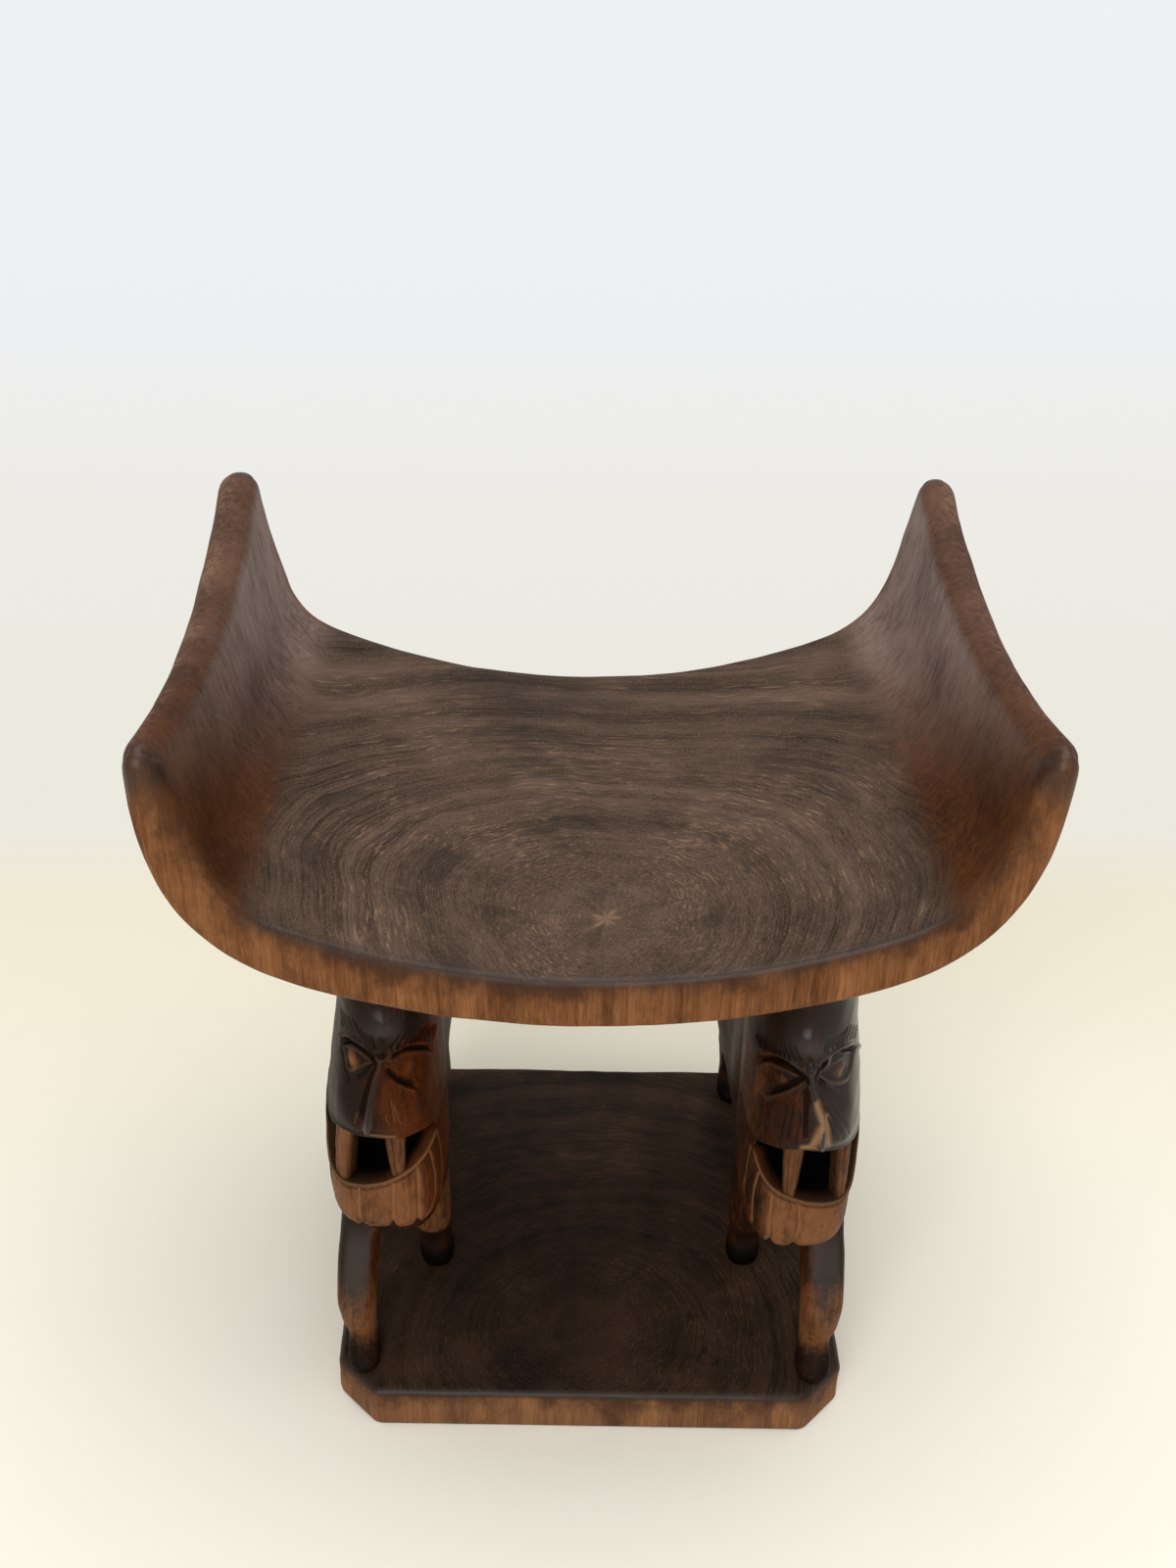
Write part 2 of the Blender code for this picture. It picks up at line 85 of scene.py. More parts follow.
# Each face: the head's half width over the same heights on its outer and inner side, as a share of the full
# half width, and its strokes, as places on its skin in mm: round from the middle of the front, up from the
# mouth. Eyes have a place and how bare they are, fangs a place and their half widths at top and foot.
# A comb is a row of strokes, given by its first and last stroke and their number.
LEFT_FACE = {
    "outer_widths": (
        (-104, 0.92), (-97, 1.05), (-88, 1.13), (-72, 1.15), (-40, 1.13), (-8, 1.08), (24, 0.96),
        (60, 0.81), (110, 0.71),
    ),
    "inner_widths": ((-104, 0.78), (-92, 0.93), (-75, 0.97), (0, 0.97), (60, 0.90), (110, 0.83)),
    "eyes": ((-23, 46, 1.0), (25, 41, 0.4)),
    "fangs": {"outer": (-28, 10.0, 6.5), "inner": (9, 7.8, 5.2)},
    "warmth": 0.85,
    "sheen": 0.07,
    "forehead": (5, 76),
    "combs": (
        (((-52, 66), (-44, 57)), ((-20, 76), (-15, 68)), 7),
        (((-16, 75), (-11, 66)), ((-4, 68), (-2, 58)), 4),
        (((10, 58), (16, 66)), ((36, 52), (52, 53)), 7),
        (((41, 49), (57, 49)), ((58, 38), (72, 40)), 4),
    ),
    "lip": (
        (-62, -12), (-45, -10), (-34, -6), (-21, -1), (-8, -3), (2, -4), (12, -5), (22, -4),
        (36, -9), (48, -14),
    ),
    "rim": (
        (-62, -16), (-52, -33), (-40, -44), (-25, -47), (-8, -46), (3, -42), (13, -35), (23, -28),
        (36, -22), (48, -18),
    ),
    "strokes": {
        "brow": (
            ((-44, 50), (-26, 60), (-13, 61), (-6, 55), (-1, 52)),
            ((5, 52), (14, 56), (30, 54), (52, 42)),
        ),
        "lid_cut": (
            ((-41, 48), (-26, 56), (-15, 58), (-6, 54), (-2, 50)),
            ((12, 53), (22, 54), (36, 48), (56, 35)),
            ((7, 43), (12, 38), (22, 32), (28, 28)),
        ),
        "lid": (
            ((-35, 48), (-26, 53), (-16, 54), (-9, 52), (-3, 50)),
            ((8, 50), (16, 52), (29, 49), (46, 39)),
            ((-35, 48), (-30, 40), (-24, 38), (-16, 44), (-9, 48), (-3, 50)),
            ((8, 40), (14, 34), (26, 26)),
        ),
        "crease": (((-42, 43), (-32, 38), (-24, 33)), ((-18, 37), (-10, 42), (-4, 47))),
        "nose": (((2, 52), (-2, 38), (-5, 26), (-7, 8)),),
        "nose_cut": (((-2, 48), (-8, 32), (-12, 16)),),
        "whisker": (((8, 26), (10, 13)), ((10, 22), (14, 10)), ((4, 17), (6, 11)), ((-14, 18), (-16, 10))),
        "torn": (((-9, 0), (-3, -1), (3, -2), (9, -3)),),
        "beard_cut": (
            ((-46, -56), (-44, -98)), ((-15, -52), (-18, -98)),
            ((5, -48), (2, -98)), ((22, -36), (20, -98)),
        ),
        "mane_cut": (
            ((34, -27), (40, -58), (36, -79), (26, -88)),
            ((49, -25), (54, -48), (51, -78), (42, -92)),
            ((-64, -25), (-66, -58), (-60, -84)),
            ((-76, -20), (-80, -58), (-74, -90)),
        ),
    },
}
RIGHT_FACE = {
    "outer_widths": (
        (-104, 0.84), (-97, 0.95), (-88, 1.02), (-72, 1.03), (-40, 1.05), (-8, 1.08), (24, 1.04),
        (60, 0.93), (110, 0.84),
    ),
    "inner_widths": ((-104, 0.78), (-92, 0.93), (-75, 0.97), (0, 0.97), (60, 0.93), (110, 0.88)),
    "eyes": ((-26, 44, 0.5), (21, 51, 0.5)),
    "fangs": {"outer": (27, 8.0, 5.2), "inner": (-10, 8.2, 4.6)},
    "warmth": 0.42,
    "sheen": 0.62,
    "forehead": (-6, 77),
    "combs": (
        (((-66, 50), (-54, 49)), ((-38, 63), (-30, 59)), 6),
        (((-33, 66), (-26, 60)), ((-15, 72), (-10, 62)), 5),
        (((6, 72), (8, 79)), ((22, 73), (26, 80)), 6),
        (((26, 72), (32, 78)), ((50, 57), (62, 57)), 6),
    ),
    "lip": ((-46, -15), (-26, -4), (-17, -1), (-9, 3), (5, 0), (14, -1), (27, -3), (45, -8), (62, -12)),
    "rim": (
        (-46, -19), (-35, -28), (-22, -37), (-10, -43), (2, -48), (14, -50), (30, -50), (45, -42),
        (55, -28), (62, -16),
    ),
    "strokes": {
        "brow": (
            ((-57, 43), (-33, 57), (-19, 61), (-10, 57), (-4, 52)),
            ((2, 55), (4, 62), (10, 69), (22, 70), (44, 56), (59, 45)),
        ),
        "lid_cut": (
            ((-56, 38), (-38, 51), (-21, 57), (-12, 54), (-5, 50)),
            ((4, 55), (9, 62), (20, 66), (44, 52)),
            ((-36, 30), (-20, 41), (-8, 49)),
        ),
        "lid": (
            ((-50, 40), (-39, 47), (-20, 52), (-6, 50)),
            ((-37, 26), (-24, 35), (-14, 42), (-6, 48)),
            ((5, 54), (12, 58), (26, 59), (40, 53)),
            ((5, 51), (12, 46), (26, 42), (35, 44), (40, 53)),
        ),
        "crease": (((4, 48), (10, 42), (18, 38)),),
        "nose": (((-2, 57), (-2, 45), (2, 34), (6, 24), (6, 7)),),
        "nose_cut": (((-5, 42), (-4, 28), (-4, 14)),),
        "whisker_cut": (
            ((-18, 31), (-21, 12)), ((-13, 33), (-16, 12)), ((-8, 28), (-10, 11)),
            ((10, 32), (21, 9)), ((13, 33), (26, 10)), ((10, 25), (16, 11)),
        ),
        "chip": (((2, 36), (6, 24)), ((6, 22), (1, 8)), ((8, 26), (10, 9)), ((-5, 5), (11, 5))),
        "beard_cut": (
            ((-3, -52), (0, -70), (-2, -100)), ((-21, -47), (-20, -100)), ((44, -56), (42, -100)),
        ),
        "mane_cut": (
            ((-51, -25), (-55, -59), (-55, -77)),
            ((-34, -32), (-39, -62), (-37, -86)),
            ((64, -25), (66, -58), (60, -84)),
            ((76, -20), (80, -58), (74, -90)),
        ),
    },
}
FACES = {"left": LEFT_FACE, "right": RIGHT_FACE}

# The trunk from the belly up: height, half width, front and back.
TRUNK = (
    (0.148, 0.026, -0.050, 0.130), (0.156, 0.031, -0.056, 0.146), (0.185, 0.0328, -0.060, 0.153),
    (0.212, 0.0328, -0.092, 0.153), (0.262, 0.0322, -0.092, 0.150), (0.300, 0.0308, -0.092, 0.142),
    (0.335, 0.0300, -0.090, 0.132), (0.375, 0.0298, -0.086, 0.130), (0.430, 0.0300, -0.082, 0.134),
)
# The chest from the belly up to the beard: height, half width, distance behind the solid chest's front.
CHEST = ((0.150, 0.027, 0.009), (0.158, 0.031, 0.005), (0.180, 0.0325, 0.003))
CHEST_TOP = (0.0325, 0.005)
# Each leg from the paw up: height over the base, shift back, half width, half depth.
FORWARD_LEG = (
    (0.000, -0.008, 0.0128, 0.0170), (0.007, -0.009, 0.0134, 0.0178), (0.013, -0.006, 0.0130, 0.0150),
    (0.018, 0.003, 0.0120, 0.0118), (0.025, 0.004, 0.0122, 0.0118), (0.036, 0.002, 0.0140, 0.0145),
    (0.058, 0.004, 0.0160, 0.0178), (0.086, 0.018, 0.0165, 0.0182), (0.120, 0.034, 0.0162, 0.0194),
    (0.150, 0.046, 0.0155, 0.0200),
)
SET_BACK_LEG = (
    (0.000, 0.003, 0.0124, 0.0140), (0.010, 0.003, 0.0130, 0.0145), (0.018, 0.005, 0.0122, 0.0125),
    (0.026, 0.007, 0.0112, 0.0110), (0.036, 0.004, 0.0126, 0.0135), (0.050, 0.000, 0.0142, 0.0180),
    (0.070, 0.002, 0.0150, 0.0215), (0.115, 0.006, 0.0150, 0.0260), (0.150, 0.010, 0.0145, 0.0270),
)
HIND_LEG = (
    (0.000, -0.006, 0.0136, 0.0165), (0.008, -0.006, 0.0140, 0.0170), (0.016, 0.000, 0.0130, 0.0145),
    (0.023, 0.005, 0.0122, 0.0128), (0.042, 0.008, 0.0140, 0.0155), (0.068, -0.010, 0.0176, 0.0240),
    (0.092, -0.020, 0.0178, 0.0290), (0.130, -0.030, 0.0165, 0.0330), (0.165, -0.033, 0.0140, 0.0300),
    (0.190, -0.033, 0.0080, 0.0200),
)
# The legs: how far a paw stands out from its lion's middle and along the stool, and the leg's shape.
LEGS = {
    "outer_fore_leg": (0.0275, -0.124, FORWARD_LEG),
    "inner_fore_leg": (-0.0230, -0.036, SET_BACK_LEG),
    "outer_hind_leg": (0.0130, 0.068, HIND_LEG),
    "inner_hind_leg": (-0.0130, 0.146, HIND_LEG),
}
# Each lion's forward leg: how far its paw moves out and back from there, its share of the width, its bow.
FORWARD_LEGS = {"left": (-0.004, 0.008, 0.88, 0.005), "right": (-0.0085, -0.003, 0.96, 0.003)}
STRAIGHT = (0.0, 0.0, 1.0, 0.0)
# How bare the wood is above each lion's set-back paw.
BARE_KNEES = {"left": 0.72, "right": 0.2}
# How far each lion's inner flank and inner hind leg are drawn in towards its middle.
TUCKS = {"left": 0.006, "right": -0.003}
# Shoulder, waist and haunch on a flank: place along the stool, height, half length, half height, rise.
MUSCLES = (
    (-0.025, 0.215, 0.028, 0.060, 0.0035), (0.032, 0.235, 0.026, 0.080, -0.0025),
    (0.098, 0.205, 0.036, 0.065, 0.0045),
)
# A tail that lies down the rump: height, distance behind the rump, half width.
TAIL = (
    (0.300, -0.004, 0.008), (0.270, 0.002, 0.0085), (0.220, 0.003, 0.0075), (0.180, 0.001, 0.007),
    (0.160, 0.001, 0.010),
)
# The lamps: name, place, power, width. They point at the middle of the stool.
LAMPS = (("window", (-1.6, -6.0, 4.1), 285.0, 5.0), ("ceiling", (0.3, 0.2, 4.5), 160.0, 4.0))
LAMP_AIM = Vector((0, 0, 0.3))
# The photograph's camera: place, degrees down, to the right and rolled, and lens on a 36 mm wide sensor.
CAMERA_PLACE = (-0.021, -0.907, 1.096)
CAMERA_TURN = (35.2, 1.0, 0.67)
CAMERA_LENS = 39.375


def size(default, description):
    """A length, or a pair of them: one for each side, or across and along."""
    shown = {"description": description, "default": default, "unit": "LENGTH", "precision": 4}
    return FloatVectorProperty(size=2, **shown) if isinstance(default, tuple) else FloatProperty(**shown)


def number(default, description):
    return FloatProperty(description=description, default=default)


def colour(default, description):
    return FloatVectorProperty(description=description, default=default, subtype="COLOR", size=3)


class SeatSettings(bpy.types.PropertyGroup):
    width: size(0.512, "Width across the horned corners")
    height: size(0.434, "Height of the dish's lowest point above the floor")
    thickness: size(0.0375, "Thickness of the seat at its middle")
    dish_radius: size(0.445, "Radius of the dished top")
    horn_height: size(0.161, "Height of the horned corners above the dish's lowest point")
    horn_thickness: size(0.018, "Thickness of the raised ends at their top edge")
    inner_lean: number(15.0, "Degrees that the inner face of a raised end leans outwards")
    bend_run: size((0.028, 0.040), "Distance before its corner where the dish starts to turn up")
    bend_rise: size((0.026, 0.044), "Height above that corner where the raised end runs straight")
    left_outer_lean: number(1.0, "Degrees that the outer face of the left end leans outwards")
    right_outer_lean: number(3.0, "The same at the right end")
    outer_run: size((0.080, 0.085), "Distance before its outer corner where the underside turns up")
    outer_rise: size((0.096, 0.104), "Height above that corner where the end runs straight")
    end_dip: size(0.022, "How far the top edge of an end sinks between its corners")
    right_inset: size(0.010, "How far the right end leans in at the back")
    rear_lift: size(0.003, "How much higher the dish is at the back")
    rear_swell: size((0.012, 0.008), "How much thicker an end is at the back")
    rear_taper: size(0.003, "How far the outer faces of the ends draw in at their back corners")
    rear_rise: size((0.0085, 0.0055), "How much higher an end is at the back")
    arris_round: size(0.0055, "Rounding along the front and back edges")
    tip_round: size(0.012, "Rounding along the top edges of the ends")
    tip_arris: size(0.013, "Rounding along the front and back edges at the horned corners")
    corner_round: size(0.018, "Rounding of the horned corners, seen from the side")
    tool_marks: size(0.0005, "Depth of the shallow dents that the adze left")


class BaseSettings(bpy.types.PropertyGroup):
    corner_cut: size(0.028, "Length of the cut across each corner")
    corner_round: size(0.004, "Rounding of the upright edges")
    lip: size(0.006, "Width of the slope along the top edge")
    foot_round: size(0.002, "Rounding along the floor")
    left_swell: size(0.0035, "How much wider the base is on its left side")
    skew: number(0.022, "How far the base is out of square with the seat")
    tool_marks: size(0.0009, "Depth of the shallow dents that the adze left")


class LionSettings(bpy.types.PropertyGroup):
    spacing: size(0.280, "Distance between the middles of the two lions' stances")
    neck: size(-0.060, "Where the heads start, along the stool")
    neck_overlap: size(0.004, "How far the heads reach back over that line")
    neck_width: size(0.067, "Width of the heads where they meet the trunks")
    muzzle: size(0.100, "Length of the head from the neck to the lips")
    throat: size(-0.095, "Middle of the head, along the stool, that the mouth is hollowed towards")
    brow_squareness: number(2.6, "2 for an oval head at the brow, more for a squarer one")
    jaw_squareness: number(4.0, "The same at the jaw")
    mouth_depth: number(0.55, "How far the mouth is hollowed towards the throat, as a share")
    mouth_sink: size(0.014, "How far the floor of the mouth lies below its rim")
    cell: size(0.0019, "Size of the cells that the bodies are moulded from")
    tool_marks: size(0.0004, "Depth of the shallow dents that the knife left")


class FinishSettings(bpy.types.PropertyGroup):
    pith: size((0.0, -0.107), "Place of the log's centre, seen from above")
    worn_dark: colour((0.017, 0.010, 0.006), "Dark grain of the worn seat")
    worn_pale: colour((0.122, 0.076, 0.053), "Pale flecks of the worn seat")
    base_dark: colour((0.006, 0.004, 0.002), "Dark stain on top of the base")
    base_pale: colour((0.050, 0.026, 0.014), "Reddish patches on top of the base")
    side_dark: colour((0.062, 0.018, 0.005), "Dark streaks of the upright faces")
    side_pale: colour((0.315, 0.132, 0.050), "Pale streaks of the upright faces")
    side_stain: colour((0.030, 0.011, 0.006), "Dark stain that runs down the upright faces")
    fleck: colour((0.250, 0.150, 0.085), "Tan flecks of the worn seat")
    soot: colour((0.018, 0.014, 0.010), "Black smudges on the worn tops")
    horn_red: colour((0.028, 0.008, 0.002), "Dark red-brown of the raised ends' inner faces")
    horn_pale: colour((0.102, 0.034, 0.009), "Paler figure of the raised ends' inner faces")
    # Painted sheen: the reflection high on the raised ends' inner faces is painted into their colour.
    horn_haze: colour((0.290, 0.212, 0.182), "Dulled polish high on the raised ends' inner faces")
    lion_dark: colour((0.015, 0.007, 0.004), "Polished stain of the lions")
    lion_warm: colour((0.088, 0.018, 0.002), "Red-brown of the lions where the stain is thin")
    lion_pale: colour((0.190, 0.074, 0.028), "Wood of the lions where the stain is rubbed off")
    # Painted shade in the cuts and grooves of the faces; the same colour darkens the legs near the base and
    # the fangs along their groove and sides.
    lion_soot: colour((0.003, 0.002, 0.001), "Dirt in the cuts and round the paws")
    lion_hollow: colour((0.001, 0.001, 0.001), "Shade inside the mouths")
    # Also the pale along the lids and brows, which is partly painted highlight.
    bare: colour((0.330, 0.170, 0.075), "Bare wood in cuts and chips")


class StageSettings(bpy.types.PropertyGroup):
    floor: colour((0.84, 0.80, 0.69), "Cream floor")
    far_floor: colour((0.72, 0.665, 0.52), "Floor behind the stool")
    low_wall: colour((0.80, 0.775, 0.69), "Pale ground that the floor turns into")
    wall: colour((0.81, 0.82, 0.84), "Pale ground further back")
    daylight: colour((0.95, 0.97, 1.0), "Light that comes from all round")
    room_light: number(0.42, "Strength of the light from all round")
    wall_place: size(0.47, "Distance behind the stool's middle where the ground turns paler")


class StoolSettings(bpy.types.PropertyGroup):
    seat: PointerProperty(type=SeatSettings)
    base: PointerProperty(type=BaseSettings)
    lion: PointerProperty(type=LionSettings)
    finish: PointerProperty(type=FinishSettings)
    stage: PointerProperty(type=StageSettings)


def settings():
    return bpy.context.scene.stool


class Field:
    """A shader socket that takes part in sums and products as a number does."""

    def __init__(self, finish, socket):
        self.finish = finish
        self.socket = socket

    def math(self, operation, *values):
        return self.finish.node("Math", {"operation": operation}, values)

    def __add__(self, other):
        return self.math("ADD", self, other)

    def __sub__(self, other):
        return self.math("SUBTRACT", self, other)

    def __rsub__(self, other):
        return self.math("SUBTRACT", other, self)

    def __mul__(self, other):
        return self.math("MULTIPLY", self, other)

    def __pow__(self, other):
        return self.math("POWER", self, other)

    __radd__ = __add__
    __rmul__ = __mul__


class Finish:
    """A material, or the room's light, whose node tree is written as expressions."""

    def __init__(self, holder, shader="Principled BSDF"):
        holder.use_nodes = True
        self.holder = holder
        self.tree = holder.node_tree
        self.shader = self.tree.nodes[shader]

    def node(self, kind, settings, sockets, output=0):
        """Adds a node, sets it up, feeds its sockets and gives one of its outputs."""
        made = self.tree.nodes.new("ShaderNode" + kind)
        for name, value in settings.items():
            setattr(made, name, value)
        named = sockets.items() if isinstance(sockets, dict) else enumerate(sockets)
        for name, value in named:
            self.feed(made.inputs[name], value)
        return Field(self, made.outputs[output])

    def feed(self, socket, value):
        if isinstance(value, Field):
            self.tree.links.new(value.socket, socket)
        else:
            socket.default_value = value

    def point(self, upright=1.0):
        """The place in the stool, with its height scaled."""
        place = self.node("TexCoord", {}, {}, "Object")
        return self.node("VectorMath", {"operation": "MULTIPLY"}, (place, (1.0, 1.0, upright)))

    def axes(self, vector):
        return [self.node("SeparateXYZ", {}, (vector,), i) for i in range(3)]

    def noise(self, point, scale, detail, roughness, output=0):
        sockets = {"Vector": point, "Scale": scale, "Detail": detail, "Roughness": roughness}
        return self.node("TexNoise", {}, sockets, output)

    def grain(self, upright, scale, detail, roughness):
        """Noise in the wood, drawn out along the log where upright is below 1."""
        return self.noise(self.point(upright), scale, detail, roughness)

    def bands(self, along, scale, detail, roughness):
        sockets = {"W": along, "Scale": scale, "Detail": detail, "Roughness": roughness}
        return self.node("TexNoise", {"noise_dimensions": "1D"}, sockets)

    def rise(self, value, low, high):
        """0 below low and 1 above high, eased between."""
        sockets = {"Value": value, "From Min": low, "From Max": high}
        return self.node("MapRange", {"interpolation_type": "SMOOTHSTEP"}, sockets)

    def mix(self, share, first, second):
        ends = [end if isinstance(end, Field) else (*end, 1.0) for end in (first, second)]
        return self.node("Mix", {"data_type": "RGBA"}, {0: share, 6: ends[0], 7: ends[1]}, 2)

    def layers(self, ground, *layers):
        """A ground colour with further colours over it, each given as (share, colour)."""
        for share, over in layers:
            ground = self.mix(share, ground, over)
        return ground

    def mark(self, name):
        return self.node("Attribute", {"attribute_name": name}, {}, "Fac")

    def in_sight(self):
        """1 for what is seen straight, mirrored or through glass, 0 for the light that falls on things."""
        rays = ("Camera", "Glossy", "Transmission")
        return sum(self.node("LightPath", {}, {}, f"Is {ray} Ray") for ray in rays)

    def bump(self, height, distance):
        return self.node("Bump", {}, {"Height": height, "Distance": distance, "Strength": 1.0})

    def finish(self, **sockets):
        for name, value in sockets.items():
            self.feed(self.shader.inputs[name.replace("_", " ").title().replace("Ior", "IOR")], value)
        return self.holder


def log_grain(finish):
    """The log's grain, as (radius from the pith, turn round it, fibre along the log)."""
    wander = finish.axes(finish.noise(finish.point(0.4), 5.0, 4.0, 0.5, "Color"))
    x, y, _ = finish.axes(finish.point())
    pith = settings().finish.pith
    across = (x - pith[0] + (wander[0] - 0.5) * 0.05) * 0.92
    ahead = y - pith[1] + (wander[1] - 0.5) * 0.05
    radius = (across * across + ahead * ahead) ** 0.5
    turn = finish.node("Math", {"operation": "ARCTAN2"}, (ahead, across))
    return radius, turn, finish.grain(0.05, 1300.0, 3.0, 0.7)


def worn_wood(name, dark, pale, wear, horns):
    """Stained wood with a worn top, streaked sides and a polished arris. horns: it has raised ends."""
    look = settings().finish
    finish = Finish(bpy.data.materials.new(name))
    radius, turn, fibre = log_grain(finish)
    arris = finish.mark("arris")
    cloud = finish.grain(1.0, 13.0, 5.0, 0.62)
    dust = finish.grain(1.0, 1000.0, 2.0, 0.6)
    hair = finish.bands(radius, 700.0, 2.0, 0.6)
    ring = finish.bands(radius, 190.0, 2.0, 0.55)
    broad = finish.bands(radius, 55.0, 2.0, 0.5)
    dashes = finish.noise(finish.node("CombineXYZ", {}, (turn * 11.0, radius * 600.0, 0.0)), 1.0, 3.0, 0.65)
    patch = finish.noise(finish.node("CombineXYZ", {}, (turn * 2.0, radius * 26.0, 3.0)), 1.0, 5.0, 0.65)

    # The top: rings and flecks where it is worn, smudges of soot.
    worn = finish.rise(finish.grain(1.0, 9.0, 3.0, 0.6), 0.35, 0.62)
    worn = worn * (0.15 + 0.85 * finish.rise(radius, 0.01, 0.10))
    lines = (finish.rise(hair, 0.42, 0.64) * 0.26 + finish.rise(ring, 0.46, 0.7) * 0.20) * worn
    grain = (dashes - 0.5) * 0.95 + (broad - 0.5) * 0.8 + (dust - 0.5) * 1.3 - lines
    tone = 0.5 + (cloud - 0.5) * (1.1 - 0.4 * wear) + grain * wear
    tone = finish.rise(tone, 0.5 - 0.75 * wear, 0.5 + 0.55 * wear)
    fleck = finish.rise(dashes + (cloud - 0.5) * 0.6, 0.6, 0.72) * 0.5 + finish.rise(dust, 0.64, 0.74) * 0.5
    soot = finish.rise(patch, 0.46, 0.72) * 0.6 * wear
    top = finish.layers(dark, (tone, pale), (fleck * wear**2, look.fleck), (soot, look.soot))

    # The upright faces: streaks, and stain that runs down them in blotches.
    strands = finish.grain(0.05, 360.0, 3.0, 0.65)
    slabs = finish.grain(0.08, 30.0, 3.0, 0.6)
    streak = finish.rise(fibre * 0.5 + strands * 0.6 + slabs * 1.1, 0.75, 1.5)
    blotch = finish.grain(0.6, 48.0, 4.0, 0.68)
    stain = finish.mark("stain") * 0.5 + (cloud - 0.5) * 1.2 + (blotch - 0.5) * 1.8 + (strands - 0.5) * 0.7
    stain = finish.rise(stain, -0.05, 0.7) * 0.75
    dusty = 0.3 * (1.0 - wear)
    side = finish.layers(
        look.side_dark, (streak, look.side_pale), (dusty, look.fleck), (stain, look.side_stain)
    )

    # A star crack at the pith, and the raised ends' red inner faces with a painted sheen high up and their
    # rubbed edges.
    if horns:
        arms = finish.bands(turn, 1.6, 0.0, 0.5)
        crack = finish.rise(arms * 0.016 - radius, 0.0, 0.006) * 0.5
        figure = finish.grain(0.35, 260.0, 4.0, 0.7)
        brushed = finish.grain(0.12, 240.0, 4.0, 0.65)
        burl = finish.rise(cloud * 0.4 + figure * 0.4 + dust * 0.2, 0.34, 0.70)
        # Painted sheen, brighter higher up and towards the back.
        haze = finish.mark("haze") * finish.rise(cloud * 0.8 + brushed * 0.8, 0.30, 1.10)
        rubbed = finish.rise(cloud * 0.5 + figure * 0.6 + dust * 0.3, 0.66, 0.86)
        rubbed = finish.mark("rubbed") * rubbed * 0.6
        red = finish.layers(
            look.horn_red, (burl, look.horn_pale), (haze, look.horn_haze), (rubbed, look.fleck)
        )
        top = finish.layers(top, (crack, look.fleck), (finish.mark("raised"), red))
    wood = finish.layers(side, (finish.mark("top"), top), (arris * 0.7, look.lion_dark))
    rough = 0.6 - arris * 0.2 + (dust - 0.5) * 0.1
    relief = finish.bump(fibre * 0.4 + dashes * 0.6 - lines, 0.0005)
    sockets = {"base_color": wood, "roughness": rough, "normal": relief, "coat_weight": arris * 0.3}
    return finish.finish(**sockets, coat_roughness=0.3, specular_ior_level=0.06)


def polished_wood(name):
    """The lions' polished wood, warm where the stain is thin, pale where it is rubbed off or cut through,
    with painted highlight on some ridges and painted shade in the cuts and mouths.
    """
    look = settings().finish
    finish = Finish(bpy.data.materials.new(name))
    radius, _, fibre = log_grain(finish)
    fine = finish.bands(radius, 300.0, 2.0, 0.6)
    cloud = finish.grain(0.5, 45.0, 6.0, 0.68)
    chips = finish.grain(0.25, 420.0, 3.0, 0.6)
    uneven = (cloud - 0.5) * 1.5 + (fibre - 0.5) * 0.7 + (chips - 0.5) * 0.9 + (fine - 0.5) * 0.4
    warm = finish.rise(finish.mark("warm") + uneven, 0.15, 1.1)
    rubbed = finish.mark("pale")
    pale = finish.rise(rubbed + uneven * (0.35 + 0.65 * rubbed), 0.15, 1.1)
    # Painted shade: inside the mouths the colour turns near black.
    hollow = finish.rise(finish.mark("hollow"), 0.04, 0.14)
    wood = finish.layers(
        look.lion_dark,
        (warm, look.lion_warm),
        (pale, look.lion_pale),
        (finish.mark("cut"), look.bare),
        # Painted shade in the cuts and grooves; also darker legs near the base and fang sides.
        (finish.mark("soot"), look.lion_soot),
        (hollow, look.lion_hollow),
    )
    rough = 0.45 + (fibre - 0.5) * 0.2 + hollow * 0.5
    relief = finish.bump(fibre * 0.5 + chips, 0.0005)
    gloss = finish.mark("gloss")
    sockets = {"base_color": wood, "roughness": rough, "normal": relief, "coat_weight": gloss}
    return finish.finish(**sockets, coat_roughness=0.2, specular_ior_level=0.04)


def link(name, data):
    made = bpy.data.objects.new(name, data)
    bpy.context.scene.collection.objects.link(made)
    return made


def stand(name, bm):
    """An object with the faces of a bmesh, which is used up."""
    mesh = bpy.data.meshes.new(name)
    bm.to_mesh(mesh)
    bm.free()
    return link(name, mesh)


def piece(name, bm, material, slot, *nodes):
    """The mesh of a finished piece of the stool, which stands for the named nodes of the frame."""
    bmesh.ops.recalc_face_normals(bm, faces=bm.faces)
    made = stand(name, bm)
    made.data.materials.append(material)
    made.data.shade_smooth()
    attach(made, "root")
    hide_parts(*nodes)
    return made.data


def read_vectors(items, name):
    values = np.empty(len(items) * 3)
    items.foreach_get(name, values)
    return values.reshape(-1, 3)


def read_points(mesh):
    return read_vectors(mesh.vertices, "co")


def read_normals(mesh):
    return read_vectors(mesh.vertex_normals, "vector")


def write_points(mesh, points):
    mesh.vertices.foreach_set("co", points.ravel())
    mesh.update()


def write_marks(mesh, **marks):
    """Values from 0 to 1 at each point, for the materials."""
    for name, values in marks.items():
        mesh.attributes.new(name, "FLOAT", "POINT").data.foreach_set("value", np.clip(values, 0.0, 1.0))


def ease(low, high, value):
    """0 below low and 1 above high, eased between."""
    share = np.clip((value - low) / (high - low), 0.0, 1.0)
    return share * share * (3 - 2 * share)


def fade(low, high, value):
    """1 below low and 0 above high, eased between."""
    return 1 - ease(low, high, value)


def bell(value, width):
    """1 where the value is 0, falling off to both sides."""
    return np.exp(-((value / width) ** 2))


def swell(across, height, place, wide, tall):
    return bell(across - place[0], wide) * bell(height - place[1], tall)


def dents(points, scale, seed):
    """A smooth random height between about -1 and 1 at each point."""
    shift = Vector((seed, -seed, 0.5 * seed))
    return np.array([noise.noise(Vector(point) * scale + shift) for point in points])


